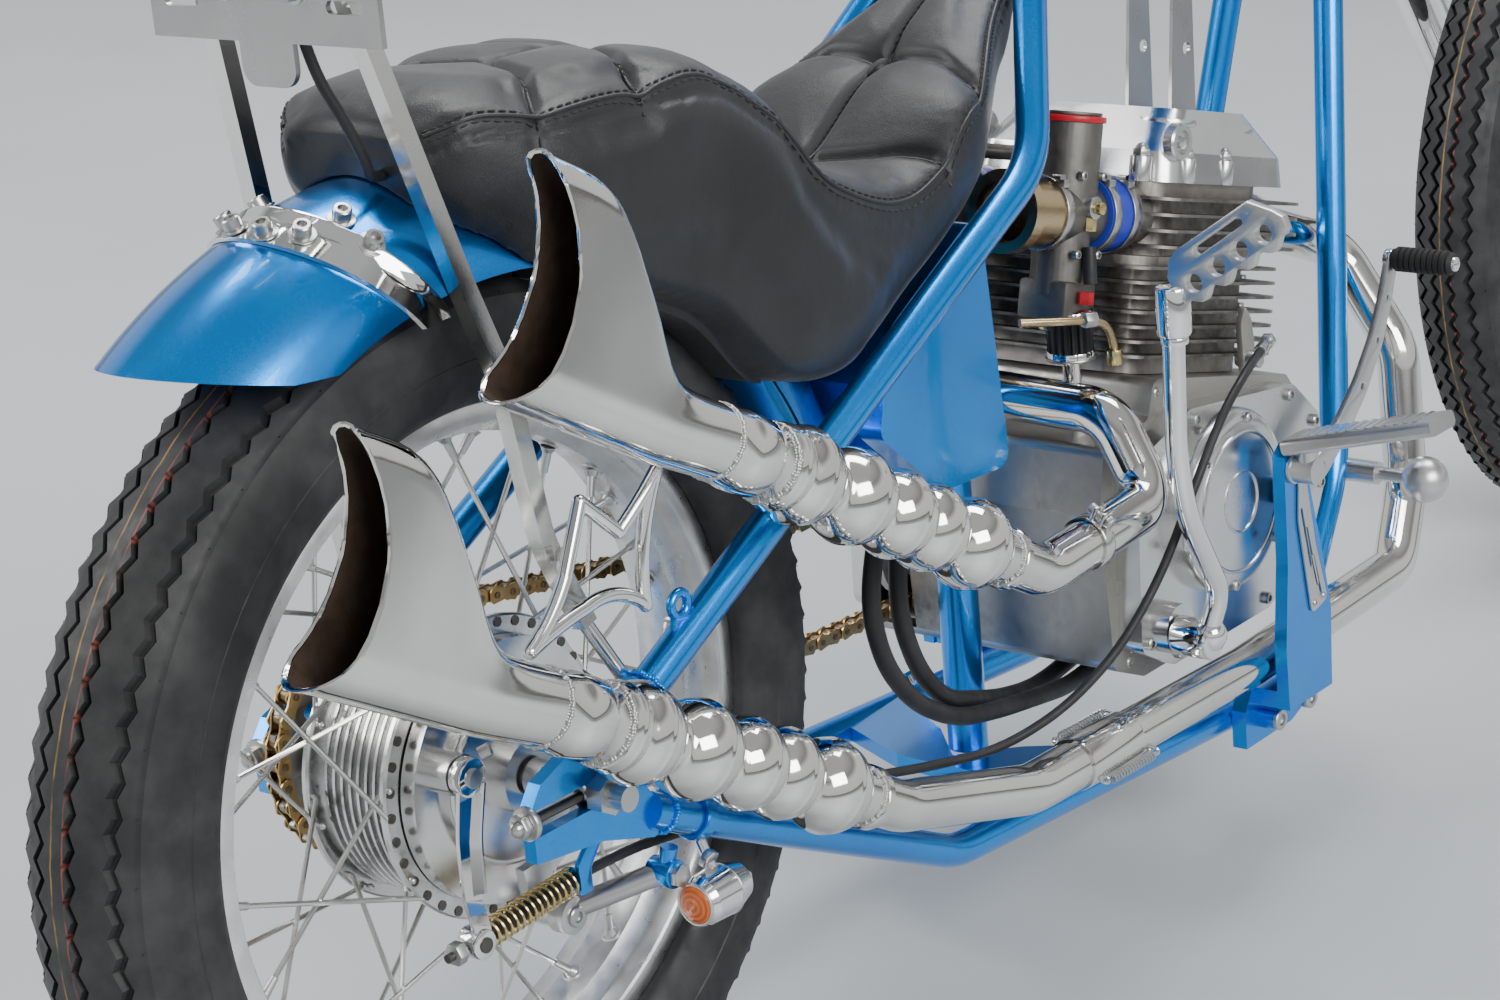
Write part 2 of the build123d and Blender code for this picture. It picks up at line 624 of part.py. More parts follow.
BULBS = [(52.0, 32.5), (106.0, 31.0), (146.0, 31.0), (199.0, 33.0), (260.0, 33.0), (284.0, 29.0)]
COLLAR_START = 294.0
COLLAR_END = 352.0
COLLAR_R = 25.5
TAIL_WALL = 2.0
TAIL_SECTIONS = [          # from the front ring, low round and its height, high round and its height
    (352.0, 24.0, -0.5, 24.0, 0.5),
    (402.0, 24.5, -3.0, 23.0, 2.5),
    (424.0, 24.5, -3.5, 21.0, 15.0),
    (456.0, 24.5, -3.5, 19.0, 53.0),
    (505.0, 24.5, -3.5, 16.0, 100.0),
    (568.0, 24.0, -4.0, 13.0, 109.0),
]
MOUTH_R = 92.0             # the hollow of the swallow-tailed mouth, and where its centre lies
MOUTH_ALONG = 618.0
MOUTH_RISE = 40.0


def tail_plane(start, along, rise):
    """A plane square to a tail, some way back from its front ring."""
    side_up = Vector(sin(radians(TAIL_ANGLE)), 0, cos(radians(TAIL_ANGLE)))
    return Plane(origin=start + TAIL_BACK * along + side_up * rise, x_dir=side_up, z_dir=TAIL_BACK)


def horn(start, wall):
    """The flared horn of a fishtail: rounded below and above, with straight sides between."""
    with BuildPart() as flare:
        for along, low_r, low, high_r, high in TAIL_SECTIONS:
            slope = asin((low_r - high_r) / (high - low))
            under = low_r - wall
            over = high_r - wall
            with BuildSketch(tail_plane(start, along, 0.0)):
                with BuildLine():
                    low_right = (low + under * sin(slope), under * cos(slope))
                    high_right = (high + over * sin(slope), over * cos(slope))
                    low_left = (low_right[0], -low_right[1])
                    high_left = (high_right[0], -high_right[1])
                    ThreePointArc(low_left, (low - under, 0), low_right)
                    Line(low_right, high_right)
                    ThreePointArc(high_right, (high + over, 0), high_left)
                    Line(high_left, low_left)
                make_face()
        loft()
    return flare.part


def fishtail(start):
    """Bulbs strung on the pipe, a welded collar and an open horn with a swallow-tailed mouth."""
    with BuildPart() as tail:
        add(disc(start, TAIL_BACK, PIPE_R + 3, 8))
        add(disc(start, TAIL_BACK, PIPE_R + 1, COLLAR_START))
        for along, radius in BULBS:
            with Locations(Plane(origin=start + TAIL_BACK * along, z_dir=TAIL_BACK)):
                Sphere(radius)
        add(disc(start + TAIL_BACK * COLLAR_START, TAIL_BACK, COLLAR_R, COLLAR_END - COLLAR_START))
        add(horn(start, 0.0))
        add(horn(start, TAIL_WALL), mode=Mode.SUBTRACT)
        mouth = tail_plane(start, MOUTH_ALONG, MOUTH_RISE).origin
        add(disc(mouth, (0, 1, 0), MOUTH_R, 60, both=True), mode=Mode.SUBTRACT)
    return tail.part


keep(fishtail(LOWER_TAIL), "lower_fishtail")
keep(fishtail(UPPER_TAIL), "upper_fishtail")

# Star-shaped bracket of rod between the two tails, carried by a boss on the sissy bar
STAR_ROD_R = 4.75
STAR = [                   # each corner, and how far the side that follows bows towards the middle
    ((3, -132, 193), 0.0), ((30, -137, 166), 6.0), ((67, -140, 196), 7.0), ((47, -138, 112), 8.0),
    ((-8, -138, 128), 5.0), ((-62, -140, 118), 6.0), ((-20, -135, 152), 0.0),
]
STAR_MIDDLE = Vector(18, -137, 150)
with BuildPart() as star_bracket:
    for number, (point, bow) in enumerate(STAR):
        follow = STAR[(number + 1) % len(STAR)][0]
        half_way = (Vector(*point) + Vector(*follow)) / 2
        inward = (STAR_MIDDLE - half_way).normalized()
        with BuildLine() as side_line:
            if bow:
                ThreePointArc(point, half_way + inward * bow, follow)
            else:
                Line(point, follow)
        with BuildSketch(Plane(origin=point, z_dir=side_line.line % 0)):
            Circle(STAR_ROD_R)
        sweep(path=side_line.line)
        with Locations(point):
            Sphere(STAR_ROD_R)
    add(rod([(-20, -135, 152), (13, -104, 152)], [], STAR_ROD_R))
keep(star_bracket.part, "star_bracket")


# Sissy bar: a square bar from the axle plates up behind the seat
BAR = 12.5
SISSY_Y = FENDER_HALF + 7 # middle of each leg where it passes the fender's edge
LAMP_Z = FENDER_R + 120.0 # height of the licence bracket
SISSY = [
    (28.0, SISSY_Y + 19, 100.0), (8.0, SISSY_Y + 9, 160.0), (-6.0, SISSY_Y + 4, FENDER_EDGE_R - 62),
    (-28.0, SISSY_Y, FENDER_R - 64), (-72.0, SISSY_Y - 23, LAMP_Z), (-96.0, SISSY_Y - 27, LAMP_Z + 184),
    (-100.0, 30.0, LAMP_Z + 254), (-100.0, -30.0, LAMP_Z + 254),
]


def fender_spot(radius, angle):
    """A point in X and Z by its radius from the axle and its angle up from straight ahead."""
    return (radius * cos(radians(angle)), radius * sin(radians(angle)))


# Strap over the fender, welded to both legs of the bar
STRAP_WALL = 3.0
STRAP_SIDE = [
    fender_spot(FENDER_R + 10, 110.4), fender_spot(FENDER_EDGE_R - 8, 101.0),
    fender_spot(FENDER_EDGE_R - 8, 97.0), fender_spot(FENDER_R + 10, 104.6),
]
STRAP_UNDER = FIT
STRAP_OVER = FIT + STRAP_WALL
with BuildPart() as strap:
    with BuildSketch(Plane(origin=(0, 0, 0), x_dir=(0, 1, 0), z_dir=(1, 0, 0))):
        with BuildLine():
            ThreePointArc(
                (FENDER_HALF + STRAP_OVER, FENDER_EDGE_R),
                (0, FENDER_R + STRAP_OVER),
                (-FENDER_HALF - STRAP_OVER, FENDER_EDGE_R),
            )
            Line((-FENDER_HALF - STRAP_OVER, FENDER_EDGE_R), (-FENDER_HALF - STRAP_UNDER, FENDER_EDGE_R))
            ThreePointArc(
                (-FENDER_HALF - STRAP_UNDER, FENDER_EDGE_R),
                (0, FENDER_R + STRAP_UNDER),
                (FENDER_HALF + STRAP_UNDER, FENDER_EDGE_R),
            )
            Line((FENDER_HALF + STRAP_UNDER, FENDER_EDGE_R), (FENDER_HALF + STRAP_OVER, FENDER_EDGE_R))
        make_face()
    revolve(axis=Axis.Y, revolution_arc=-50)
    add(plate(STRAP_SIDE, -FENDER_HALF - 20, FENDER_HALF + 20), mode=Mode.INTERSECT)
with BuildPart() as sissy_bar:
    with BuildLine() as sissy_path:
        half = SISSY[:-1]
        other = [(x, -y, z) for x, y, z in reversed(half)]
        FilletPolyline(*half, *other, radius=[90, 90, 90, 150, 150, 28, 28, 150, 150, 90, 90, 90])
    with BuildSketch(Plane(origin=sissy_path.line @ 0, x_dir=(0, 1, 0), z_dir=sissy_path.line % 0)):
        Rectangle(BAR, BAR)
    sweep()
    for side in (1, -1):
        add(rod([(26, side * (SISSY_Y + 19), 104), (48, side * 113, 58)], [], 5))
        with BuildSketch(Plane(origin=(46, side * (RAIL_Y - PLATE_WALL / 2 - FIT), 60), z_dir=(0, side, 0))):
            Rectangle(60, 40)
        extrude(amount=30, mode=Mode.SUBTRACT)
    add(strap.part)
    add(both_sides(rod(UPPER_RAIL, UPPER_BEND, RAIL_R + FIT / 3)), mode=Mode.SUBTRACT)
keep(sissy_bar.part.solids().sort_by(SortBy.VOLUME)[-1], "sissy_bar")

# Licence plate bracket across the bar
with BuildPart() as plate_bracket:
    with BuildSketch(Plane(origin=(-81.2, 0, LAMP_Z - 4), x_dir=(0, 1, 0), z_dir=(1, 0, 0))):
        Rectangle(196, 46)
        with Locations((-70, 0), (70, 0)):
            SlotOverall(30, 8, mode=Mode.SUBTRACT)
        with Locations((0, -30)):
            RectangleRounded(46, 40, 12)
    extrude(amount=-4)
keep(plate_bracket.part, "plate_bracket")

# Rear fender: a deep arched blade with a ducktail tip
FENDER_FROM = 14.0
FENDER_TO = 128.0
TIP = fender_spot(FENDER_R + 4, 126.1)
TIP_CORNER = fender_spot(FENDER_EDGE_R + 16, 117.9)
TIP_EDGE = fender_spot(FENDER_EDGE_R - 4, 111.5)
TIP_CUT = [
    (TIP[0] - 40, TIP[1] + 9.5), TIP, TIP_CORNER, TIP_EDGE, (TIP_EDGE[0], TIP_EDGE[1] - 150),
    (TIP[0] - 40, TIP[1] - 150),
]
with BuildPart() as rear_fender:
    with BuildSketch(Plane(origin=(0, 0, 0), x_dir=(0, 1, 0), z_dir=(1, 0, 0))):
        with BuildLine():
            ThreePointArc(
                (-FENDER_HALF, FENDER_EDGE_R), (0, FENDER_R), (FENDER_HALF, FENDER_EDGE_R)
            )
            Line((FENDER_HALF, FENDER_EDGE_R), (FENDER_HALF - FENDER_WALL, FENDER_EDGE_R))
            ThreePointArc(
                (FENDER_HALF - FENDER_WALL, FENDER_EDGE_R),
                (0, FENDER_R - FENDER_WALL),
                (-FENDER_HALF + FENDER_WALL, FENDER_EDGE_R),
            )
            Line((-FENDER_HALF + FENDER_WALL, FENDER_EDGE_R), (-FENDER_HALF, FENDER_EDGE_R))
        make_face()
    revolve(axis=Axis.Y, revolution_arc=FENDER_TO - FENDER_FROM)
with BuildPart() as tailed_fender:
    add(rear_fender.part.rotate(Axis.Y, 90 - FENDER_TO))
    add(plate(TIP_CUT, -FENDER_HALF - 4, FENDER_HALF + 4), mode=Mode.SUBTRACT)
keep(tailed_fender.part, "rear_fender")

# Seat: a two-level saddle, raised behind, dished for the rider, with a nose between the rails
SEAT_TABLE = [             # x, half width, underside, top, corner roundness
    (-34.0, 62.0, 384.0, 434.0, 20.0),
    (-8.0, 88.0, 364.0, 447.0, 24.0),
    (60.0, 106.0, 318.0, 440.0, 26.0),
    (180.0, 113.0, 262.0, 434.0, 26.0),
    (250.0, 117.0, 196.0, 396.0, 26.0),
    (315.0, 118.0, 186.0, 330.0, 26.0),
    (400.0, 117.0, 226.0, 303.0, 26.0),
    (485.0, 112.0, 272.0, 352.0, 26.0),
    (585.0, 66.0, 342.0, 404.0, 22.0),
    (640.0, 48.0, 398.0, 440.0, 16.0),
]
SEAT_GAP = 0.4
with BuildPart() as seat:
    for x, half_width, low, high, corner in SEAT_TABLE:
        with BuildSketch(Plane(origin=(x, 0, (low + high) / 2), x_dir=(0, 1, 0), z_dir=(1, 0, 0))):
            RectangleRounded(2 * half_width, high - low, corner)
    loft(ruled=True)
    with BuildSketch(Plane(origin=(0, 0, 0), x_dir=(0, 1, 0), z_dir=(-1, 0, 0))):
        with BuildLine():
            ThreePointArc(
                (-FENDER_HALF - SEAT_GAP, FENDER_EDGE_R - SEAT_GAP),
                (0, FENDER_R + SEAT_GAP),
                (FENDER_HALF + SEAT_GAP, FENDER_EDGE_R - SEAT_GAP),
            )
            Polyline(
                (FENDER_HALF + SEAT_GAP, FENDER_EDGE_R - SEAT_GAP),
                (FENDER_HALF + SEAT_GAP, 100.0),
                (-FENDER_HALF - SEAT_GAP, 100.0),
                (-FENDER_HALF - SEAT_GAP, FENDER_EDGE_R - SEAT_GAP),
            )
        make_face()
    revolve(axis=Axis.Y, mode=Mode.SUBTRACT)
    add(both_sides(rod(UPPER_RAIL, UPPER_BEND, RAIL_R + SEAT_GAP)), mode=Mode.SUBTRACT)
    add(disc((POST_X, 0, 240), (0, 0, 1), POST_R + SEAT_GAP, 90), mode=Mode.SUBTRACT)
    add(rod([(POST_X, -RAIL_Y, 290), (POST_X, RAIL_Y, 290)], [], 11.0 + SEAT_GAP), mode=Mode.SUBTRACT)
SEAT = seat.part.solids().sort_by(SortBy.VOLUME)[-1]
keep(SEAT, "seat")

# Fuel tank: a small peanut tank astride the backbone
TANK_TABLE = [             # x, half width, underside, top, corner roundness
    (704.0, 34.0, 500.0, 556.0, 20.0),
    (760.0, 76.0, 502.0, 604.0, 40.0),
    (860.0, 108.0, 516.0, 646.0, 52.0),
    (970.0, 114.0, 538.0, 674.0, 56.0),
    (1022.0, 84.0, 560.0, 668.0, 46.0),
    (1048.0, 46.0, 578.0, 638.0, 26.0),
]
TANK_GAP = 6.0
with BuildPart() as fuel_tank:
    for x, half_width, low, high, corner in TANK_TABLE:
        with BuildSketch(Plane(origin=(x, 0, (low + high) / 2), x_dir=(0, 1, 0), z_dir=(1, 0, 0))):
            RectangleRounded(2 * half_width, high - low, corner)
    loft()
    add(rod([(640, 0, 501), fork_point(0, 0, 30)], [], BACKBONE_R + TANK_GAP), mode=Mode.SUBTRACT)
    with BuildSketch(Plane(origin=(640, 0, 0), x_dir=(0, 1, 0), z_dir=(1, 0, 0))):
        with Locations((0, 461)):
            Rectangle(2 * BACKBONE_R + 2 * TANK_GAP, 202)
    extrude(amount=500, mode=Mode.SUBTRACT)
    add(disc((930, 0, 650), (0, 0, 1), 27, 36))
keep(fuel_tank.part.solids().sort_by(SortBy.VOLUME)[-1], "fuel_tank")

# Side box between the rails, ahead of the rear wheel
BOX_HALF = 98.0
BOX_SIDE = [(352, 130), (420, 70), (506, 66), (490, 232), (480, 262), (372, 205)]
with BuildPart() as side_box:
    add(plate(BOX_SIDE, -BOX_HALF, BOX_HALF, corner=12))
    add(disc((0, -FENDER_HALF - 1, 0), (0, 1, 0), FENDER_R + FIT, 2 * FENDER_HALF + 2), mode=Mode.SUBTRACT)
    add(SEAT, mode=Mode.SUBTRACT)
    add(both_sides(rod(UPPER_RAIL, UPPER_BEND, RAIL_R + SEAT_GAP)), mode=Mode.SUBTRACT)
keep(side_box.part.solids().sort_by(SortBy.VOLUME)[-1], "side_box")

# Lamps
with BuildPart() as tail_lamp:
    add(disc((-83, 0, LAMP_Z + 19 + FIT), (0, 0, 1), 6, 17))
    add(disc((-70, 0, LAMP_Z + 62), (-1, 0, 0), 27, 46))
    add(disc((-116, 0, LAMP_Z + 62), (-1, 0, 0), 24, 6))
keep(tail_lamp.part, "tail_lamp")

INDICATOR = Vector(98.0, -134.0, -106.0)


def indicator(centre, stalk_to):
    """A small bullet lamp on a stalk, its lens facing back."""
    with BuildPart() as lamp:
        with BuildSketch(Plane(origin=centre, x_dir=(1, 0, 0), z_dir=(0, -1, 0))):
            with BuildLine():
                Polyline((-26, 0), (-26, 14), (-20, 17), (2, 18), (18, 13), (27, 5), (28, 0), close=True)
            make_face()
        revolve(axis=Axis(centre, (1, 0, 0)))
        add(rod([centre, stalk_to], [], 4))
        add(rod(LOWER_RAIL, LOWER_BENDS, RAIL_R + FIT / 3).mirror(Plane.XZ), mode=Mode.SUBTRACT)
    return lamp.part


keep(both_sides(indicator(INDICATOR, (94, -RAIL_Y, -66))), "rear_indicators")

# Foot controls: blocks bolted to the lower rails carry tall plates outboard of the exhaust
BRACKET_IN = CASE_HALF + 53.0
BRACKET_WALL = 11.0
BRACKET_FACE = BRACKET_IN + BRACKET_WALL
FLANGE_IN = RAIL_Y + RAIL_R + FIT
FLANGE_FACE = FLANGE_IN + 13.0
BRACKET = [
    (752, -204), (750, -150), (757, -80), (757, 8), (768, 16), (786, 12), (796, -30), (812, -90), (822, -136),
    (820, -204),
]
BRACKET_FLANGE = [(741, -240), (741, -208), (754, -190), (820, -190), (836, -202), (836, -232), (812, -240)]
with BuildPart() as foot_bracket:
    add(plate(BRACKET, -BRACKET_FACE, -BRACKET_IN))
    add(plate(BRACKET_FLANGE, -FLANGE_FACE, -FLANGE_IN))
    add(plate([(754, -204), (754, -190), (820, -190), (820, -204)], -BRACKET_FACE, -FLANGE_IN))
    for x, z in ((769, -221), (818, -219)):
        add(disc((x, -FLANGE_FACE, z), (0, -1, 0), 9, 14))
keep(both_sides(foot_bracket.part), "foot_brackets")

PEG = Vector(770, -BRACKET_FACE - FIT, -4)
PEG_OUT = Vector(0, -0.972, 0.236)
with BuildPart() as footpeg:
    add(disc(PEG, (0, -1, 0), 11, 22))
    with BuildSketch(Plane(origin=(PEG.X, PEG.Y - 1, PEG.Z + 21), x_dir=(1, 0, 0), z_dir=PEG_OUT)):
        RectangleRounded(40, 13, 5)
    extrude(amount=134)
    add(disc((PEG.X, PEG.Y - 14, PEG.Z), (0, 0, 1), 8, 22))
BALL_PEG = Vector(1000, -88, -83)
with BuildPart() as ball_peg:
    add(disc(BALL_PEG, (0, -1, 0), 10, 42))
    add(disc(BALL_PEG, (0, -1, 0), 6, 70))
    with Locations((BALL_PEG.X, BALL_PEG.Y - 86, BALL_PEG.Z)):
        Sphere(20)
    add(rod(DOWNTUBE, [110.0], RAIL_R + FIT / 3).mirror(Plane.XZ), mode=Mode.SUBTRACT)
PEG_PAIR = [footpeg.part, ball_peg.part.solids().sort_by(SortBy.VOLUME)[-1]]
keep(Compound(children=PEG_PAIR + [piece.mirror(Plane.XZ) for piece in PEG_PAIR]), "footpegs")

PEDAL_Y = BRACKET_IN - FIT
PEDAL_MID = PEDAL_Y - 5
PEDAL = [(800, -PEDAL_MID, -34), (876, -PEDAL_MID, -2), (936, -PEDAL_MID, 56), (966, -PEDAL_MID, 118)]
with BuildPart() as foot_pedal:
    add(disc((800, -PEDAL_Y, -34), (0, 1, 0), 13, 9.5))
    add(rod(PEDAL, [50, 60], 4.8))
    add(disc((966, -PEDAL_MID + 2, 118), (0, -1, 0), 10.5, 61))
keep(both_sides(foot_pedal.part), "foot_pedals")

KICK_Y = -CASE_HALF - 90.0
KICK = [(627, KICK_Y + 24, -102), (632, KICK_Y + 12, -60), (560, KICK_Y, 40), (566, KICK_Y, 190)]
with BuildPart() as kick_lever:
    add(disc((STARTER[0] - 6, -CASE_HALF - 40 - FIT, STARTER[1] - 2), (0, -1, 0), 15, 34))
    add(rod(KICK, gentle(KICK, [40, 120]), 8))
    add(disc((566, KICK_Y, 180), (0, 0, 1), 13, 26))
    with BuildSketch(Plane(origin=(566, KICK_Y - 4, 198), x_dir=(0, -0.82, 0.57), z_dir=(1, 0, 0))):
        with Locations((52, 0)):
            RectangleRounded(104, 40, 14)
            with GridLocations(24, 0, 4, 1):
                Circle(8, mode=Mode.SUBTRACT)
    extrude(amount=4, both=True)
keep(kick_lever.part, "kick_lever")

# Rear brake plate, torque arm, brake arm with its spring rod, and the cable
BRAKE_PLATE_R = 88.0
TORQUE_LUG = (16.0, -104.0)   # where the torque arm's eye is bolted to the plate
PLATE_Y = DRUM_RIGHT - BRAKE_GAP
with BuildPart() as brake_plate:
    add(disc((0, PLATE_Y, 0), (0, -1, 0), BRAKE_PLATE_R, 12))
    add(disc((0, PLATE_Y - 12, 0), (0, -1, 0), 62, 9))
    fillet(brake_plate.faces().sort_by(Axis.Y)[0].edges(), 5)
    add(disc((0, PLATE_Y - 20, 0), (0, -1, 0), 26, 12))
    add(disc((-60, PLATE_Y - 10, 22), (0, -1, 0), 14, 18))
    add(plate([(-2, -70), (22, -68), (29, -104), (16, -117), (3, -104)], PLATE_Y - 16, PLATE_Y - 4))
    add(disc((TORQUE_LUG[0], PLATE_Y - 15, TORQUE_LUG[1]), (0, -1, 0), 10, 11))
    add(disc((0, PLATE_Y + 1, 0), (0, -1, 0), AXLE_R + FIT / 3, 60), mode=Mode.SUBTRACT)
keep(brake_plate.part, "brake_plate")

ARM_Y = PLATE_Y - 28 - FIT
ROD_Y = -90.0
with BuildPart() as brake_arm:
    add(disc((-60, ARM_Y, 22), (0, -1, 0), 12, 10))
    add(rod([(-60, ARM_Y - 7, 22), (-86, ROD_Y + 4, -76)], [], 6))
    add(disc((-86, ROD_Y + 9, -76), (0, -1, 0), 9, 18))
    add(rod([(-114, ROD_Y, -77), (14.6, ROD_Y, -70)], [], 3))
    add(rod([(-74, ROD_Y, -74.9), (4, ROD_Y, -70.6)], [], 9))
with BuildPart() as torque_arm:
    add(disc((TORQUE_LUG[0], PLATE_Y - 26 - FIT, TORQUE_LUG[1]), (0, -1, 0), 13, 14))
    add(rod([(TORQUE_LUG[0] + 9, PLATE_Y - 36, TORQUE_LUG[1] + 4), (66, -RAIL_Y + 7, -84)], [], 8))
    add(disc((66, -RAIL_Y + 16, -84), (0, -1, 0), 10, 20))
    add(rod([(66, -RAIL_Y + 5, -82), (70, -RAIL_Y + 1, -50)], [], 6))
    add(rod(LOWER_RAIL, LOWER_BENDS, RAIL_R + FIT).mirror(Plane.XZ), mode=Mode.SUBTRACT)
keep(
    Compound(children=[brake_arm.part, torque_arm.part.solids().sort_by(SortBy.VOLUME)[-1]]),
    "brake_linkage",
)

CABLE_R = 3.5
BRAKE_CABLE = [
    (752, -168, 96), (706, -184, 96), (656, -190, 74), (612, -188, 24), (574, -182, -30), (528, -172, -76),
    (474, -156, -108), (416, -134, -124), (352, -112, -118), (290, -98, -106), (228, -96, -94), (166, -92, -86),
    (112, -96, -76), (64, -91, -71), (16, ROD_Y, -70),
]
CABLE_FROM = 3.0
OIL_HOSE_R = 7.0
OIL_HOSES = [
    [(372, -88, 94), (346, -92, 58), (332, -92, 10), (344, -92, -38), (378, -90, -80), (430, -88, -112),
     (492, -82, -128), (556, -72, -142), (622, -60, -157), (694, -52, -153.3)],
    [(400, -76, 70), (382, -82, 34), (376, -84, -14), (394, -84, -62), (430, -80, -98), (482, -70, -118),
     (540, -52, -140), (610, -36, -158), (682, -30, -153.3)],
]


def cord(points, radius):
    """A cable or hose: runs joined by arcs as large as the runs allow."""
    bends = gentle(points, [1000.0] * (len(points) - 2))
    print("cord bends from", round(min(bends)), "to", round(max(bends)), "mm")
    return rod(points, bends, radius)


keep(cord(BRAKE_CABLE, CABLE_R), "brake_cable")
keep(Compound(children=[cord(points, OIL_HOSE_R) for points in OIL_HOSES]), "oil_hoses")

# Fork: fixed rear legs in two yokes, sprung front legs, and rockers that carry the axle
LEG_Y = 82.0
REAR_LEG_AHEAD = 50.0
FRONT_LEG_AHEAD = 100.0
REAR_LEG_R = 15.0
FRONT_LEG_R = 12.7
ROCKER_UP = -772.0
YOKE_WALL = 22.0
YOKE_GAP = 1.0
YOKE = [(-34, 30), (28, 98), (68, 98), (68, -98), (28, -98), (-34, -30)]
UPPER_YOKE_UP = NECK_LENGTH / 2 + YOKE_GAP
LOWER_YOKE_UP = -NECK_LENGTH / 2 - YOKE_GAP - YOKE_WALL


def fork_plane(up):
    """A plane square to the steering axis."""
    return Plane(origin=fork_point(0, 0, up), x_dir=STEER_AHEAD, z_dir=STEER_UP)


with BuildPart() as fork_legs:
    for up in (UPPER_YOKE_UP, LOWER_YOKE_UP):
        with BuildSketch(fork_plane(up)) as yoke_face:
            with BuildLine():
                Polyline(*YOKE, close=True)
            make_face()
            fillet(yoke_face.vertices(), 12)
        extrude(amount=YOKE_WALL)
    for side in (1, -1):
        foot = fork_point(REAR_LEG_AHEAD, side * LEG_Y, ROCKER_UP + 12)
        add(disc(foot, STEER_UP, REAR_LEG_R, UPPER_YOKE_UP + YOKE_WALL - ROCKER_UP - 6))
        add(disc(fork_point(0, side * 40, UPPER_YOKE_UP + YOKE_WALL), STEER_UP, 15, 52))
keep(fork_legs.part, "fork_legs")

SPRING_LOW = LOWER_YOKE_UP + YOKE_WALL + 6
SPRING_TURNS = 8
SPRING_PITCH = 15.0
SPRING_R = 21.0
with BuildPart() as spring_legs:
    for side in (1, -1):
        foot = fork_point(FRONT_LEG_AHEAD, side * LEG_Y, ROCKER_UP + 12)
        add(disc(foot, STEER_UP, FRONT_LEG_R, SPRING_LOW + SPRING_TURNS * SPRING_PITCH + 16 - ROCKER_UP))
        for turn in range(SPRING_TURNS):
            up = SPRING_LOW + turn * SPRING_PITCH
            add(disc(fork_point(FRONT_LEG_AHEAD, side * LEG_Y, up), STEER_UP, SPRING_R, SPRING_PITCH * 0.55))
    top = SPRING_LOW + SPRING_TURNS * SPRING_PITCH
    with BuildSketch(fork_plane(top)):
        with Locations((FRONT_LEG_AHEAD, 0)):
            RectangleRounded(34, 2 * LEG_Y + 40, 12)
    extrude(amount=12)
    with BuildSketch(fork_plane(LOWER_YOKE_UP)):
        with Locations((FRONT_LEG_AHEAD - 2, 0)):
            RectangleRounded(58, 2 * LEG_Y + 46, 10)
    extrude(amount=14)
    with BuildSketch(fork_plane(LOWER_YOKE_UP)):
        with BuildLine():
            Polyline(*YOKE, close=True)
        make_face()
        offset(amount=FIT / 3)
    extrude(amount=YOKE_WALL, mode=Mode.SUBTRACT)
keep(spring_legs.part.solids().sort_by(SortBy.VOLUME)[-1], "spring_legs")

ROCKER = [(REAR_LEG_AHEAD - 16, ROCKER_UP + 12), (FRONT_LEG_AHEAD + 14, ROCKER_UP + 12), (134, -800), (128, -826),
          (104, -826), (REAR_LEG_AHEAD - 16, ROCKER_UP - 14)]
with BuildPart() as rockers:
    for side in (1, -1):
        outline = [fork_point(ahead, side * (LEG_Y + 8), up) for ahead, up in ROCKER]
        with BuildSketch(Plane(origin=(0, side * (LEG_Y + 8), 0), x_dir=(1, 0, 0), z_dir=(0, -1, 0))) as rocker_face:
            with BuildLine():
                Polyline(*[(spot.X, spot.Z) for spot in outline], close=True)
            make_face()
            fillet(rocker_face.vertices(), 8)
        extrude(amount=side * 16)
        add(disc((FRONT_AXLE.X, side * 62.5, FRONT_AXLE.Z), (0, side, 0), 14, 14))
    add(disc((FRONT_AXLE.X, -LEG_Y - 20, FRONT_AXLE.Z), (0, 1, 0), AXLE_R, 2 * LEG_Y + 40))
    for side in (1, -1):
        with BuildSketch(Plane(origin=(FRONT_AXLE.X, side * (LEG_Y + 8), FRONT_AXLE.Z), z_dir=(0, side, 0))):
            RegularPolygon(13, 6)
        extrude(amount=10)
keep(rockers.part, "rockers")

# Handlebar on its risers, grips and levers
BAR_R = 11.1
BAR_TOP = fork_point(0, 0, UPPER_YOKE_UP + YOKE_WALL + 52 + BAR_R + FIT)
BAR = [(BAR_TOP.X - 84, 385, BAR_TOP.Z + 184), (BAR_TOP.X - 40, 338, BAR_TOP.Z + 192),
       (BAR_TOP.X - 12, 292, BAR_TOP.Z + 196), (BAR_TOP.X - 2, 150, BAR_TOP.Z + 6), (BAR_TOP.X, 90, BAR_TOP.Z)]
HANDLEBAR = BAR + [(x, -y, z) for x, y, z in reversed(BAR)]
HANDLEBAR_BENDS = gentle(HANDLEBAR, [60.0, 60.0, 60.0, 60.0, 60.0, 60.0, 60.0, 60.0])
keep(rod(HANDLEBAR, HANDLEBAR_BENDS, BAR_R), "handlebar")

GRIP_FROM = Vector(*BAR[0])
GRIP_ALONG = (Vector(*BAR[1]) - GRIP_FROM).normalized()
GRIP_R = 16.0
with BuildPart() as grip:
    add(disc(GRIP_FROM - GRIP_ALONG * 90, GRIP_ALONG, GRIP_R, 90 - FIT))
keep(both_sides(grip.part), "grips")

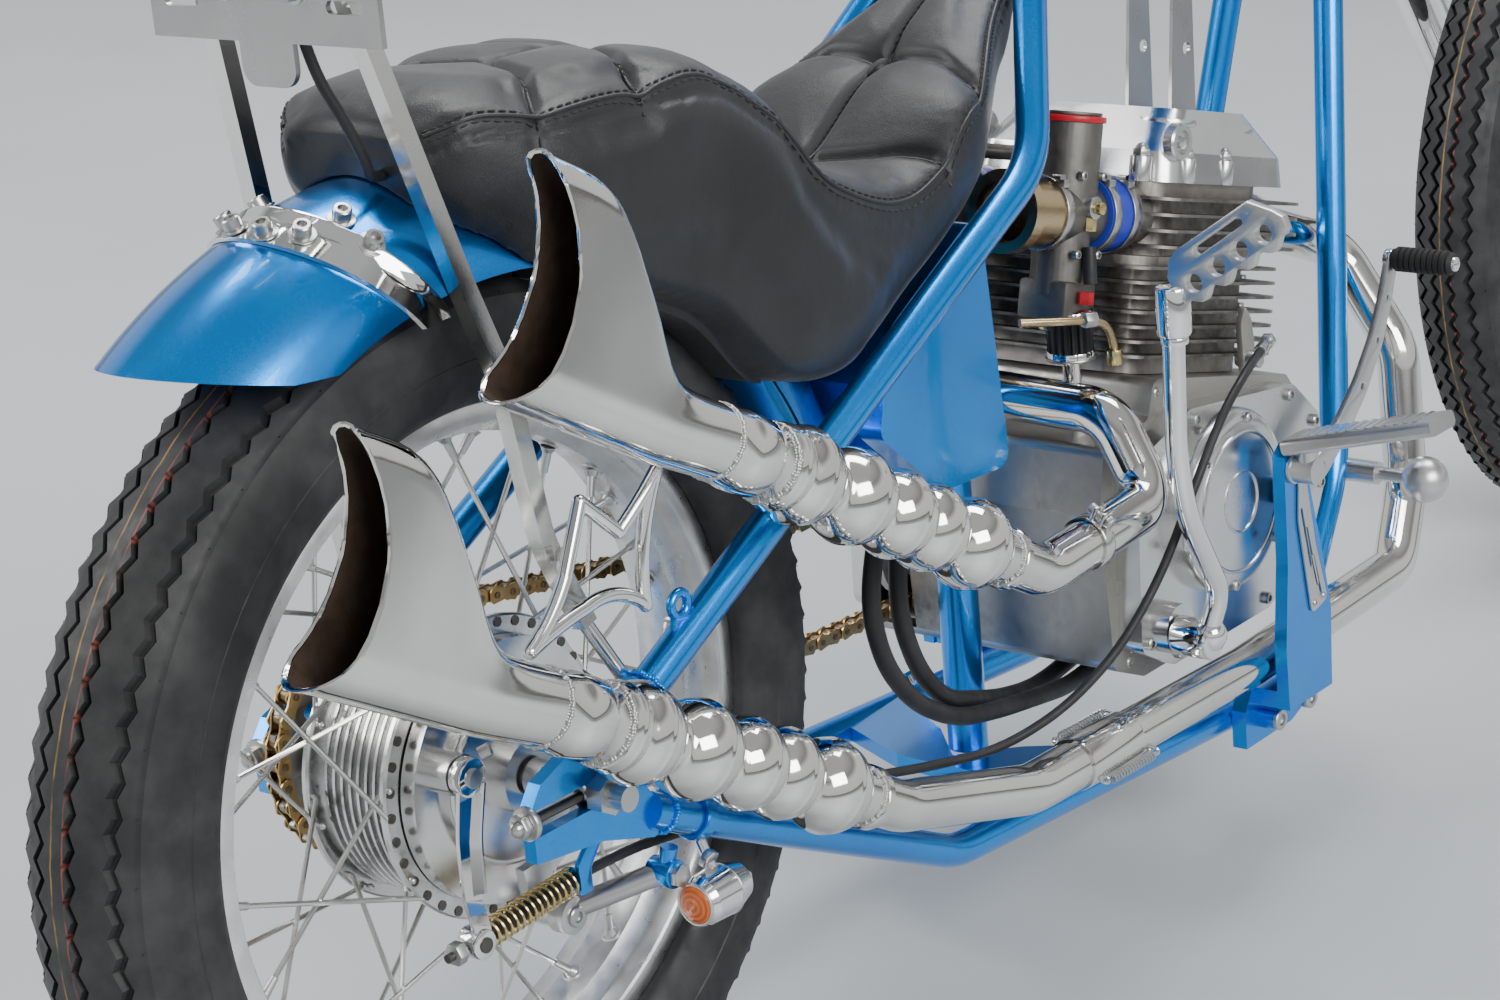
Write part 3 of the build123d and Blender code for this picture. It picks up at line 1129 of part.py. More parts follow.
# Headlamp
LAMP = fork_point(186, 0, -16)
with BuildPart() as headlamp:
    with BuildSketch(Plane(origin=LAMP, x_dir=(1, 0, 0), z_dir=(0, -1, 0))):
        with BuildLine():
            Polyline((-66, 0), (-60, 24), (-34, 52), (6, 70), (50, 74), (62, 74), (66, 60), (68, 0), close=True)
        make_face()
    revolve(axis=Axis(LAMP, (1, 0, 0)))
    add(rod([LAMP, fork_point(142, 0, LOWER_YOKE_UP + 7)], [], 8))
    add(rod([fork_point(142, 0, LOWER_YOKE_UP + 7), fork_point(127 + FIT, 0, LOWER_YOKE_UP + 7)], [], 8))
keep(headlamp.part, "headlamp")

# Front brake caliper over the disc, held by the left rear leg
CALIPER = FRONT_AXLE + STEER_UP * 104 - STEER_AHEAD * 26
with BuildPart() as caliper:
    with BuildSketch(Plane(origin=(CALIPER.X, 36, CALIPER.Z), x_dir=STEER_AHEAD, z_dir=(0, 1, 0))):
        RectangleRounded(50, 84, 14)
    extrude(amount=33)
    with BuildSketch(Plane.XZ.offset(-DISC_Y)):
        with Locations((FRONT_AXLE.X, FRONT_AXLE.Z)):
            Circle(DISC_R + 3)
    extrude(amount=DISC_WALL / 2 + 1.5, both=True, mode=Mode.SUBTRACT)
keep(caliper.part.solids().sort_by(SortBy.VOLUME)[-1], "brake_caliper")

# Side stand: a leg that swings out and forward about a tilted pin under the left rail
GROUND = REAR_TYRE_R * cos(radians(LEAN))


def ground_height(y):
    """Height of the floor at a distance to the left, with the bike drawn upright."""
    return (-GROUND + y * sin(radians(LEAN))) / cos(radians(LEAN))


STAND_PIVOT = Vector(700, 156, -224)
STAND_FOOT_Y = 262.0
STAND_FOOT = Vector(810, STAND_FOOT_Y, ground_height(STAND_FOOT_Y))
STAND_FOLDED = Vector(-0.998, 0.05, 0.05)
STAND_LEG_R = 9.0
FOOT_WALL = 6.0
GROUND_UP = Vector(0, -sin(radians(LEAN)), cos(radians(LEAN)))
STAND_AXIS = (STAND_FOOT - STAND_PIVOT).cross(STAND_FOLDED).normalized()
STAND_BOSS = 10.0
with BuildPart() as side_stand:
    add(disc(STAND_PIVOT - STAND_AXIS * STAND_BOSS, STAND_AXIS, 16, 2 * STAND_BOSS))
    add(rod([STAND_PIVOT, STAND_FOOT + GROUND_UP * (FOOT_WALL + 2)], [], STAND_LEG_R))
    add(disc(STAND_FOOT, GROUND_UP, 26, FOOT_WALL))
    add(disc(STAND_PIVOT - STAND_AXIS * 20, STAND_AXIS, 6 + SPIN_GAP, 40), mode=Mode.SUBTRACT)
keep(side_stand.part, "side_stand")

with BuildPart() as stand_lug:
    add(disc(STAND_PIVOT + STAND_AXIS * 14, STAND_AXIS * -1, 6, 30))
    add(disc(STAND_PIVOT - STAND_AXIS * (STAND_BOSS + FIT), STAND_AXIS * -1, 15, 18))
    add(rod([STAND_PIVOT - STAND_AXIS * (STAND_BOSS + 13), (STAND_PIVOT.X, RAIL_Y, -217)], [], 7))
    add(rod(LOWER_RAIL, LOWER_BENDS, RAIL_R + FIT / 3), mode=Mode.SUBTRACT)
keep(stand_lug.part.solids().sort_by(SortBy.VOLUME)[-1], "stand_lug")


# Lean the bike over onto its stand, and set the middle of its footprint at the origin
leaned = [(piece.label, piece.rotate(Axis.X, -LEAN)) for piece in BUILT]
spread = [piece.bounding_box() for _, piece in leaned]
low_corner = Vector(*[min(getattr(box.min, axis) for box in spread) for axis in "XYZ"])
high_corner = Vector(*[max(getattr(box.max, axis) for box in spread) for axis in "XYZ"])
ORIGIN = Vector((low_corner.X + high_corner.X) / 2, (low_corner.Y + high_corner.Y) / 2, low_corner.Z)
for label, piece in leaned:
    piece = piece.moved(Location(-ORIGIN))
    piece.label = label
    export_step(piece, "parts/" + label + ".step")
print("size", high_corner - low_corner, "origin", ORIGIN)
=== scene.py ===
"""A long, rigid-framed chopper parked on its side stand.

Every piece is drawn with the motorcycle upright, in millimetres: X forward, Y left, Z up, the
origin at the middle of the rear axle. Piece.done() leans it over and puts it where the frame is.
"""
import json
from math import asin, atan2, cos, degrees, pi, radians, sin, sqrt, tan

import bmesh
import bpy
from mathutils import Matrix, Vector
from mathutils.bvhtree import BVHTree


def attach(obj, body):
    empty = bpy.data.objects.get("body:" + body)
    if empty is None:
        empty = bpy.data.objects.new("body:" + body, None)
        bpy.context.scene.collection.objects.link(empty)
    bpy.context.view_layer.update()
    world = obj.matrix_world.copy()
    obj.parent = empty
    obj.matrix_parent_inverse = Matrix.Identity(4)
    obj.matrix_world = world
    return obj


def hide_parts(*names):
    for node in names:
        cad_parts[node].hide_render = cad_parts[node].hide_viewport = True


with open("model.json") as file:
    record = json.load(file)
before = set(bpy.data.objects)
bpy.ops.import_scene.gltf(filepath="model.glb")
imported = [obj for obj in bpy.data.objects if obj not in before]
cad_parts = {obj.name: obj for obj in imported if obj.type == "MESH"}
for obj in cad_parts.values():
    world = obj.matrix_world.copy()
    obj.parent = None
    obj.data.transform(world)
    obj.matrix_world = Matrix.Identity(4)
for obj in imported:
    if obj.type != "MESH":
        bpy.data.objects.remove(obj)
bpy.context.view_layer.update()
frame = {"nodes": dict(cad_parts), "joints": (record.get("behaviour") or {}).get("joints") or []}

JOINTS = {joint["name"]: joint for joint in frame["joints"]}
AXLE_SPOT = Vector(JOINTS["rear_wheel_spin"]["pos_m"])
AXLE_WAY = Vector(JOINTS["rear_wheel_spin"]["axis"])
LEAN = atan2(-AXLE_WAY.z, AXLE_WAY.y)
BIKE = Matrix.Translation(AXLE_SPOT) @ Matrix.Rotation(-LEAN, 4, "X") @ Matrix.Scale(0.001, 4)

X_WAY = Vector((1, 0, 0))
BACK = Vector((-1, 0, 0))
LEFT = Vector((0, 1, 0))
RIGHT = Vector((0, -1, 0))
UP = Vector((0, 0, 1))


# Shapes: each maker returns a new bmesh in the upright motorcycle's frame
def only(items, kind):
    """The vertices, or the edges, among what an operator returned."""
    return [item for item in items if isinstance(item, kind)]


def softened(shape, items, size, steps=2, affect="EDGES"):
    """Rounds edges or corners."""
    bmesh.ops.bevel(shape, geom=items, offset=size, segments=steps, profile=0.5, material=-1, affect=affect)


def facing(centre, axis, across=None):
    """A place whose Z runs along an axis, and whose X lies as near as it can to another way."""
    z_way = Vector(axis).normalized()
    if across is None:
        across = X_WAY if abs(z_way.x) < 0.9 else UP
    x_way = (Vector(across) - z_way * z_way.dot(Vector(across))).normalized()
    place = Matrix((x_way, z_way.cross(x_way), z_way)).transposed().to_4x4()
    place.translation = Vector(centre)
    return place


def turned(profile, centre=(0, 0, 0), axis=LEFT, steps=64, closed=False):
    """A shape turned about an axis from rows of (place along the axis, radius)."""
    shape = bmesh.new()
    spots = [shape.verts.new((radius, 0, along)) for along, radius in profile]
    edges = [shape.edges.new(pair) for pair in zip(spots, spots[1:])]
    if closed:
        edges.append(shape.edges.new((spots[-1], spots[0])))
    bmesh.ops.spin(
        shape, geom=spots + edges, cent=(0, 0, 0), axis=(0, 0, 1), dvec=(0, 0, 0), angle=2 * pi, steps=steps,
        use_merge=True, use_duplicate=False,
    )
    bmesh.ops.remove_doubles(shape, verts=shape.verts, dist=1e-4)
    shape.transform(facing(centre, axis))
    return shape


def drum(centre, axis, radius, length, edge=1.0, steps=32):
    """A round boss, bolt or washer with softened rims."""
    edge = min(edge, radius * 0.45, length * 0.45)
    soft = edge * 0.3
    profile = [
        (0, 0), (0, radius - edge), (soft, radius - soft), (edge, radius), (length - edge, radius),
        (length - soft, radius - soft), (length, radius - edge), (length, 0),
    ]
    return turned(profile, centre, axis, steps)


def ring(centre, axis, radius, wire, steps=48, wire_steps=10):
    """A round ring of round wire."""
    section = [
        (wire * sin(2 * pi * part / wire_steps), radius + wire * cos(2 * pi * part / wire_steps))
        for part in range(wire_steps)
    ]
    return turned(section, centre, axis, steps, closed=True)


def ball(centre, radius, rows=24):
    """A smooth ball."""
    shape = bmesh.new()
    bmesh.ops.create_uvsphere(
        shape, u_segments=2 * rows, v_segments=rows, radius=radius, matrix=Matrix.Translation(Vector(centre))
    )
    return shape


def nut(centre, axis, radius, height, edge=0.8):
    """A six-sided nut or bolt head."""
    shape = bmesh.new()
    bmesh.ops.create_cone(
        shape, cap_ends=True, segments=6, radius1=radius, radius2=radius, depth=height,
        matrix=facing(Vector(centre) + Vector(axis).normalized() * height / 2, axis),
    )
    softened(shape, shape.edges[:], edge)
    return shape


def cap_bolt(centre, axis, radius, height):
    """A round bolt head with a sunk socket."""
    profile = [
        (0, 0), (0, radius), (height - 0.8, radius), (height, radius - 0.8), (height, radius * 0.55),
        (height * 0.45, radius * 0.5), (height * 0.45, 0),
    ]
    return turned(profile, centre, axis, 24)


def block(place, size, edge):
    """A block with softened edges."""
    shape = bmesh.new()
    bmesh.ops.create_cube(shape, size=1.0, matrix=Matrix.Diagonal((*size, 1)))
    softened(shape, shape.edges[:], edge)
    shape.transform(place)
    return shape


def carried(shape, rim, points, bends, fineness):
    """Carries a ring of edges along straight runs joined by round bends, and returns the last ring."""
    spots = [Vector(point) for point in points]
    here = spots[0]
    for number in range(1, len(spots)):
        ahead = (spots[number] - spots[number - 1]).normalized()
        stop = spots[number]
        turn = 0.0
        if number < len(spots) - 1:
            after = (spots[number + 1] - spots[number]).normalized()
            turn = ahead.angle(after)
            reach = bends[number - 1] * tan(turn / 2)
            stop = spots[number] - ahead * reach
        if (stop - here).length > 0.01:
            fresh = bmesh.ops.extrude_edge_only(shape, edges=rim)["geom"]
            corners = only(fresh, bmesh.types.BMVert)
            bmesh.ops.translate(shape, verts=corners, vec=stop - here)
            ends = set(corners)
            rim = [side for side in only(fresh, bmesh.types.BMEdge) if ends.issuperset(side.verts)]
        if turn > 0.001:
            axis = ahead.cross(after).normalized()
            last = bmesh.ops.spin(
                shape, geom=rim, cent=stop + axis.cross(ahead) * bends[number - 1], axis=axis, dvec=(0, 0, 0),
                angle=turn, steps=max(2, round(degrees(turn) / fineness)),
                use_merge=False, use_duplicate=False,
            )["geom_last"]
            rim = only(last, bmesh.types.BMEdge)
            here = spots[number] + after * reach
        else:
            here = stop
    return rim


def room_for(points, bends):
    """Limits each bend to what its two runs leave room for."""
    spots = [Vector(point) for point in points]
    fitted = []
    for number, bend in enumerate(bends):
        before = spots[number + 1] - spots[number]
        after = spots[number + 2] - spots[number + 1]
        room_before = before.length * (0.9 if number == 0 else 0.46)
        room_after = after.length * (0.9 if number == len(bends) - 1 else 0.46)
        fitted.append(min(bend, min(room_before, room_after) / tan(before.angle(after) / 2)))
    return fitted


def disc(shape, radius, sides, place):
    """Adds a filled circle to a shape, and returns the edges round it."""
    made = bmesh.ops.create_circle(shape, cap_ends=True, segments=sides, radius=radius, matrix=place)
    return list(dict.fromkeys(edge for corner in made["verts"] for edge in corner.link_edges))


def tube(points, radius, bends=(), sides=28, fineness=5.0):
    """A round tube along straight runs and round bends, closed at both ends."""
    shape = bmesh.new()
    rim = disc(shape, radius, sides, facing(points[0], Vector(points[1]) - Vector(points[0])))
    rim = carried(shape, rim, points, list(bends), fineness)
    bmesh.ops.edgeloop_fill(shape, edges=rim)
    return shape


def bar(points, width, depth, bends=(), across=LEFT, edge=1.2, fineness=8.0):
    """A square bar along straight runs and round bends."""
    shape = bmesh.new()
    way = Vector(points[1]) - Vector(points[0])
    corners = []
    for along, aside in ((1, 1), (-1, 1), (-1, -1), (1, -1)):
        x_from, y_from = along * width / 2, aside * depth / 2
        pair = [(x_from - along * edge, y_from), (x_from, y_from - aside * edge)]
        corners += pair if along * aside < 0 else pair[::-1]
    place = facing(points[0], way, across)
    face = shape.faces.new([shape.verts.new(place @ Vector((*corner, 0))) for corner in corners])
    rim = carried(shape, list(face.edges), points, list(bends), fineness)
    bmesh.ops.edgeloop_fill(shape, edges=rim)
    return shape


def slab(outline, y_from, y_to, corner=0.0, edge=1.0, edge_steps=2):
    """A plate standing fore and aft: an outline in X and Z between two Y planes."""
    shape = bmesh.new()
    shape.faces.new([shape.verts.new((x, y_from, z)) for x, z in outline])
    if corner:
        softened(shape, shape.verts[:], corner, 4, "VERTICES")
    fresh = bmesh.ops.extrude_face_region(shape, geom=shape.faces[:])["geom"]
    bmesh.ops.translate(shape, verts=only(fresh, bmesh.types.BMVert), vec=(0, y_to - y_from, 0))
    rims = [item for item in shape.edges if abs(item.verts[0].co.y - item.verts[1].co.y) < 0.001]
    softened(shape, rims, edge, edge_steps)
    return shape


def coil(centre, axis, radius, wire, turns, length, steps=20, sides=8):
    """A wire spring about an axis."""
    shape = bmesh.new()
    rim = disc(shape, wire, sides, facing((radius, 0, 0), LEFT, X_WAY))
    count = round(turns * steps)
    last = bmesh.ops.spin(
        shape, geom=rim, cent=(0, 0, 0), axis=(0, 0, 1), dvec=(0, 0, length / count), angle=2 * pi * turns,
        steps=count, use_merge=False, use_duplicate=False,
    )["geom_last"]
    bmesh.ops.edgeloop_fill(shape, edges=only(last, bmesh.types.BMEdge))
    shape.transform(facing(centre, axis))
    return shape


def from_curve(curve):
    """The mesh of a curve, as a shape."""
    holder = bpy.data.objects.new(curve.name, curve)
    bpy.context.scene.collection.objects.link(holder)
    bpy.context.view_layer.update()
    mesh = bpy.data.meshes.new_from_object(holder.evaluated_get(bpy.context.evaluated_depsgraph_get()))
    bpy.data.objects.remove(holder)
    shape = bmesh.new()
    shape.from_mesh(mesh)
    bpy.data.meshes.remove(mesh)
    bmesh.ops.remove_doubles(shape, verts=shape.verts, dist=0.001)
    return shape


def cut_sheet(outline, holes, thickness, place, edge=0.6, rounding=0.0):
    """A flat sheet with holes: an outline of (x, y) points, and rows of (x, y, length, width, turn)."""
    curve = bpy.data.curves.new("sheet", "CURVE")
    curve.dimensions = "2D"
    curve.fill_mode = "BOTH"
    curve.extrude = thickness / 2 - edge
    curve.bevel_depth = edge
    curve.bevel_resolution = 1
    loops = [rounded(outline, rounding) if rounding else outline]
    for x, y, length, width, turn in holes:
        loops.append(slot_loop(x, y, length, width, radians(turn)))
    for loop in loops:
        spline = curve.splines.new("POLY")
        spline.points.add(len(loop) - 1)
        for point, (x, y) in zip(spline.points, loop):
            point.co = (x, y, 0, 1)
        spline.use_cyclic_u = True
    shape = from_curve(curve)
    shape.transform(place)
    return shape


def rounded(outline, radius, steps=5):
    """An outline with each corner swung round."""
    loop = []
    spots = [Vector(spot) for spot in outline]
    for number, spot in enumerate(spots):
        before = spots[number - 1] - spot
        after = spots[(number + 1) % len(spots)] - spot
        reach = min(radius, before.length * 0.45, after.length * 0.45)
        first = spot + before.normalized() * reach
        last = spot + after.normalized() * reach
        for part in range(steps + 1):
            share = part / steps
            loop.append(tuple(first * (1 - share) ** 2 + spot * 2 * share * (1 - share) + last * share ** 2))
    return loop


def slot_loop(x, y, length, width, turn, steps=9):
    """The closed line of a slot, or of a round hole where its length is its width."""
    loop = []
    reach = (length - width) / 2
    for end in (1, -1):
        for part in range(steps):
            angle = -pi / 2 + pi * part / (steps - 1)
            along = end * (reach + width / 2 * cos(angle))
            aside = end * width / 2 * sin(angle)
            loop.append((
                x + along * cos(turn) - aside * sin(turn),
                y + along * sin(turn) + aside * cos(turn),
            ))
    return loop


def smooth_line(points, radius):
    """A cable or hose whose smooth line has the points as its control points."""
    curve = bpy.data.curves.new("line", "CURVE")
    curve.dimensions = "3D"
    curve.bevel_depth = radius
    curve.bevel_resolution = 3
    curve.resolution_u = 10
    curve.use_fill_caps = True
    spline = curve.splines.new("NURBS")
    spline.points.add(len(points) - 1)
    for point, spot in zip(spline.points, points):
        point.co = (*spot, 1)
    spline.order_u = 3
    spline.use_endpoint_u = True
    return from_curve(curve)


def lofted(sections):
    """A closed skin bridged over a row of loops of points."""
    shape = bmesh.new()
    loops = []
    for loop in sections:
        corners = [shape.verts.new(spot) for spot in loop]
        pairs = [(corners[number - 1], corners[number]) for number in range(len(corners))]
        loops.append([shape.edges.new(pair) for pair in pairs])
    for first, second in zip(loops, loops[1:]):
        bmesh.ops.bridge_loops(shape, edges=first + second)
    for loop in (loops[0], loops[-1]):
        bmesh.ops.edgeloop_fill(shape, edges=loop)
    return shape


def skin(sections, capped):
    """An open skin over loops of as many points each, with a cap on the ends whose numbers are given."""
    shape = bmesh.new()
    loops = [[shape.verts.new(spot) for spot in loop] for loop in sections]
    for first, second in zip(loops, loops[1:]):
        for number in range(len(first)):
            shape.faces.new((first[number - 1], first[number], second[number], second[number - 1]))
    for end in capped:
        shape.faces.new(loops[end])
    return shape


def eased(rows, station, slack=1.0):
    """The sizes at a station, on a smooth curve through rows that each start with their own station."""
    last = len(rows) - 1
    station = min(max(station, rows[0][0]), rows[last][0])
    number = max(index for index in range(last) if station >= rows[index][0])
    before, first, second, after = (rows[max(0, min(last, number + step))] for step in (-1, 0, 1, 2))
    span = second[0] - first[0]
    share = (station - first[0]) / span
    found = []
    for column in range(1, len(first)):
        slope_in = (second[column] - before[column]) / (second[0] - before[0]) * span * slack
        slope_out = (after[column] - first[column]) / (after[0] - first[0]) * span * slack
        found.append(
            (2 * share ** 3 - 3 * share ** 2 + 1) * first[column]
            + (share ** 3 - 2 * share ** 2 + share) * slope_in
            + (3 * share ** 2 - 2 * share ** 3) * second[column]
            + (share ** 3 - share ** 2) * slope_out
        )
    return found


def weld_bead(centre, axis, radius, size):
    """A ring of small overlapping lumps, as a welder leaves them."""
    shape = bmesh.new()
    count = round(2 * pi * radius / (size * 1.15))
    place = facing(centre, axis)
    for number in range(count):
        angle = 2 * pi * number / count
        swell = size * (1 + 0.14 * sin(number * 2.4))
        spot = place @ Vector((radius * cos(angle), radius * sin(angle), 0.25 * size * sin(number * 1.7)))
        bmesh.ops.create_icosphere(shape, subdivisions=2, radius=swell, matrix=Matrix.Translation(spot))
    return shape


class Piece:
    """One visible piece, gathered from shapes that each have their own finish."""

    def __init__(self, name):
        self.name = name
        self.mesh = bmesh.new()
        self.finishes = []

    def add(self, shape, finish, both_sides=False):
        """Takes in a shape, and its mirror image on the left side where both sides have one."""
        if finish not in self.finishes:
            self.finishes.append(finish)
        bmesh.ops.recalc_face_normals(shape, faces=shape.faces)
        for face in shape.faces:
            face.material_index = self.finishes.index(finish)
            face.smooth = True
        part = bpy.data.meshes.new("part")
        shape.to_mesh(part)
        self.mesh.from_mesh(part)
        if both_sides:
            bmesh.ops.scale(shape, vec=(1, -1, 1), verts=shape.verts)
            bmesh.ops.reverse_faces(shape, faces=shape.faces)
            shape.to_mesh(part)
            self.mesh.from_mesh(part)
        shape.free()
        bpy.data.meshes.remove(part)
        return self

    def done(self, body, slot, replaces=(), sharp=38.0):
        """Leans the piece over with the motorcycle and lets it ride on its body."""
        self.mesh.transform(BIKE)
        mesh = bpy.data.meshes.new(self.name)
        self.mesh.to_mesh(mesh)
        self.mesh.free()
        mesh.set_sharp_from_angle(angle=radians(sharp))
        for finish in self.finishes:
            mesh.materials.append(finish)
        piece = bpy.data.objects.new(self.name, mesh)
        bpy.context.scene.collection.objects.link(piece)
        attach(piece, body)
        if replaces:
            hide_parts(*replaces)
        return piece


# Finishes
class Nodes:
    """A material's node tree, with short ways to add what the finishes share."""

    def __init__(self, name, colour=(0.5, 0.5, 0.5), **sockets):
        self.material = bpy.data.materials.new(name)
        self.material.use_nodes = True
        self.material.diffuse_color = (*colour, 1)
        self.tree = self.material.node_tree
        self.shader = self.tree.nodes["Principled BSDF"]
        self.shader.inputs["Base Color"].default_value = (*colour, 1)
        for socket, value in sockets.items():
            self.shader.inputs[socket.replace("_", " ").title().replace("Ior", "IOR")].default_value = value
        self.place = self.add("ShaderNodeTexCoord").outputs["Object"]

    def add(self, kind, settings=None, **inputs):
        """A new node with its settings, and with its inputs set or linked."""
        node = self.tree.nodes.new(kind)
        for name, value in (settings or {}).items():
            setattr(node, name, value)
        for name, value in inputs.items():
            self.put(node.inputs[name.replace("_", " ").title()], value)
        return node

    def put(self, socket, value):
        if isinstance(value, bpy.types.NodeSocket):
            self.tree.links.new(value, socket)
        else:
            socket.default_value = value

    def noise(self, scale, detail=3.0, roughness=0.55):
        inputs = {"Scale": scale, "Detail": detail, "Roughness": roughness}
        return self.add("ShaderNodeTexNoise", Vector=self.place, **inputs).outputs["Fac"]

    def cells(self, scale, feature="F1", out="Distance"):
        node = self.add("ShaderNodeTexVoronoi", {"feature": feature}, Vector=self.place, Scale=scale)
        return node.outputs[out]

    def from_spot(self, centre):
        """Object coordinates counted from a spot on the motorcycle."""
        shift = tuple(-(BIKE @ Vector(centre)))
        return self.add("ShaderNodeMapping", Vector=self.place, Location=shift).outputs["Vector"]

    def about_axle(self, centre):
        """X, Y and Z from an axle's middle, with the motorcycle's lean taken out."""
        vector = self.from_spot(centre)
        upright = self.add("ShaderNodeVectorRotate", {"rotation_type": "X_AXIS"}, Vector=vector, Angle=LEAN)
        return self.split(upright.outputs["Vector"])

    def length(self, vector):
        node = self.add("ShaderNodeVectorMath", {"operation": "LENGTH"})
        self.put(node.inputs[0], vector)
        return node.outputs["Value"]

    def ramp(self, value, low, high, from_value=0.0, to_value=1.0):
        inputs = {"From_Min": low, "From_Max": high, "To_Min": from_value, "To_Max": to_value}
        return self.add("ShaderNodeMapRange", Value=value, **inputs).outputs["Result"]

    def blend(self, share, first, second):
        node = self.add("ShaderNodeMix", {"data_type": "RGBA"})
        self.put(node.inputs["Factor"], share)
        colours = [socket for socket in node.inputs if socket.type == "RGBA"]
        for socket, colour in zip(colours, (first, second)):
            self.put(socket, colour if isinstance(colour, bpy.types.NodeSocket) else (*colour, 1))
        return [socket for socket in node.outputs if socket.type == "RGBA"][0]

    def maths(self, operation, first, second=0.0):
        node = self.add("ShaderNodeMath", {"operation": operation})
        self.put(node.inputs[0], first)
        self.put(node.inputs[1], second)
        return node.outputs[0]

    def split(self, vector):
        return self.add("ShaderNodeSeparateXYZ", Vector=vector).outputs

    def bump(self, height, strength, distance, under=None):
        node = self.add("ShaderNodeBump", Strength=strength, Distance=distance, Height=height)
        if under is not None:
            self.put(node.inputs["Normal"], under)
        return node.outputs["Normal"]

    def edges_and_hollows(self):
        """Light on edges and dark in hollows, from the mesh's own pointiness."""
        return self.add("ShaderNodeNewGeometry").outputs["Pointiness"]

    def show(self, socket, value):
        self.put(self.shader.inputs[socket], value)
        return self


def painted(name, colour, deep, rough=0.3, flake=2600.0):
    """Metallic paint under a clear coat: fine flakes, a little deeper in its shadows."""
    paint = Nodes(name, colour, metallic=0.92, roughness=rough, coat_weight=0.55, coat_roughness=0.03)
    sparkle = paint.ramp(paint.split(paint.cells(flake, out="Color"))["X"], 0.0, 1.0, 0.0, 0.55)
    cloud = paint.ramp(paint.noise(9.0), 0.3, 0.7, 0.0, 0.3)
    paint.show("Base Color", paint.blend(paint.maths("ADD", sparkle, cloud), deep, colour))
    paint.show("Normal", paint.bump(paint.cells(flake), 0.10, 0.0002))
    orange_peel = paint.noise(900.0, 1.0)
    paint.show("Coat Normal", paint.bump(orange_peel, 0.04, 0.0003))
    return paint.material


def polished(name, colour, rough, smear, scratches):
    """Polished metal: clean gloss with faint smears and hairline scratches."""
    metal = Nodes(name, colour, metallic=1.0, roughness=rough)
    smears = metal.ramp(metal.noise(24.0, 4.0), 0.35, 0.75, rough, rough + smear)
    metal.show("Roughness", smears)
    metal.show("Normal", metal.bump(metal.noise(700.0), scratches, 0.0002))
    tint = metal.ramp(metal.noise(11.0), 0.35, 0.7)
    darker = tuple(channel * 0.86 for channel in colour)
    metal.show("Base Color", metal.blend(tint, colour, darker))
    return metal.material


def cast(name, colour, rough, grain, depth, metallic=0.9):
    """Cast metal: fine grain, darker in random patches, and brighter on sharp edges than in hollows, by the
    mesh's pointiness.
    """
    metal = Nodes(name, colour, metallic=metallic, roughness=rough)
    grime = metal.ramp(metal.noise(55.0, 5.0), 0.38, 0.66)
    # Sharp edges lighter than flat faces and hollows, from pointiness alone.
    edges = metal.ramp(metal.edges_and_hollows(), 0.47, 0.56)
    dark = tuple(channel * 0.45 for channel in colour)
    bright = tuple(min(1.0, channel * 1.45) for channel in colour)
    body = metal.blend(grime, colour, dark)
    metal.show("Base Color", metal.blend(edges, body, bright))
    metal.show("Roughness", metal.ramp(metal.noise(120.0), 0.3, 0.7, rough - 0.1, rough + 0.15))
    metal.show("Normal", metal.bump(metal.noise(grain, 4.0), depth, 0.0005))
    return metal.material


def wheel_turned(name, colour, centre, rough, marks):
    """Satin metal with fine marks that run round a wheel."""
    metal = Nodes(name, colour, metallic=1.0, roughness=rough)
    parts = metal.about_axle(centre)
    flat = metal.add("ShaderNodeCombineXYZ", X=parts["X"], Z=parts["Z"])
    reach = metal.length(flat.outputs["Vector"])
    lines = metal.add("ShaderNodeCombineXYZ", X=reach, Y=parts["Y"]).outputs["Vector"]
    round_marks = metal.add(
        "ShaderNodeTexNoise", {"noise_dimensions": "2D"}, Vector=lines, Scale=1500.0, Detail=2.0
    )
    metal.show("Normal", metal.bump(round_marks.outputs["Fac"], marks, 0.0002))
    dust = metal.ramp(metal.noise(40.0, 4.0), 0.4, 0.7)
    metal.show("Base Color", metal.blend(dust, colour, tuple(channel * 0.8 for channel in colour)))
    metal.show("Roughness", metal.ramp(metal.noise(70.0), 0.3, 0.7, rough - 0.05, rough + 0.1))
    return metal.material


def rubber(name, colour, rough=0.6, dust=0.25):
    """Moulded rubber, slightly dusty."""
    soft = Nodes(name, colour, roughness=rough, specular_ior_level=0.35)
    pale = tuple(channel + 0.035 for channel in colour)
    veil = soft.ramp(soft.noise(18.0, 5.0), 0.42, 0.75, 0.0, dust * 2)
    soft.show("Base Color", soft.blend(veil, colour, pale))
    soft.show("Roughness", soft.ramp(soft.noise(60.0, 4.0), 0.3, 0.7, rough - 0.1, rough + 0.12))
    soft.show("Normal", soft.bump(soft.noise(900.0, 4.0), 0.12, 0.0004))
    return soft.material


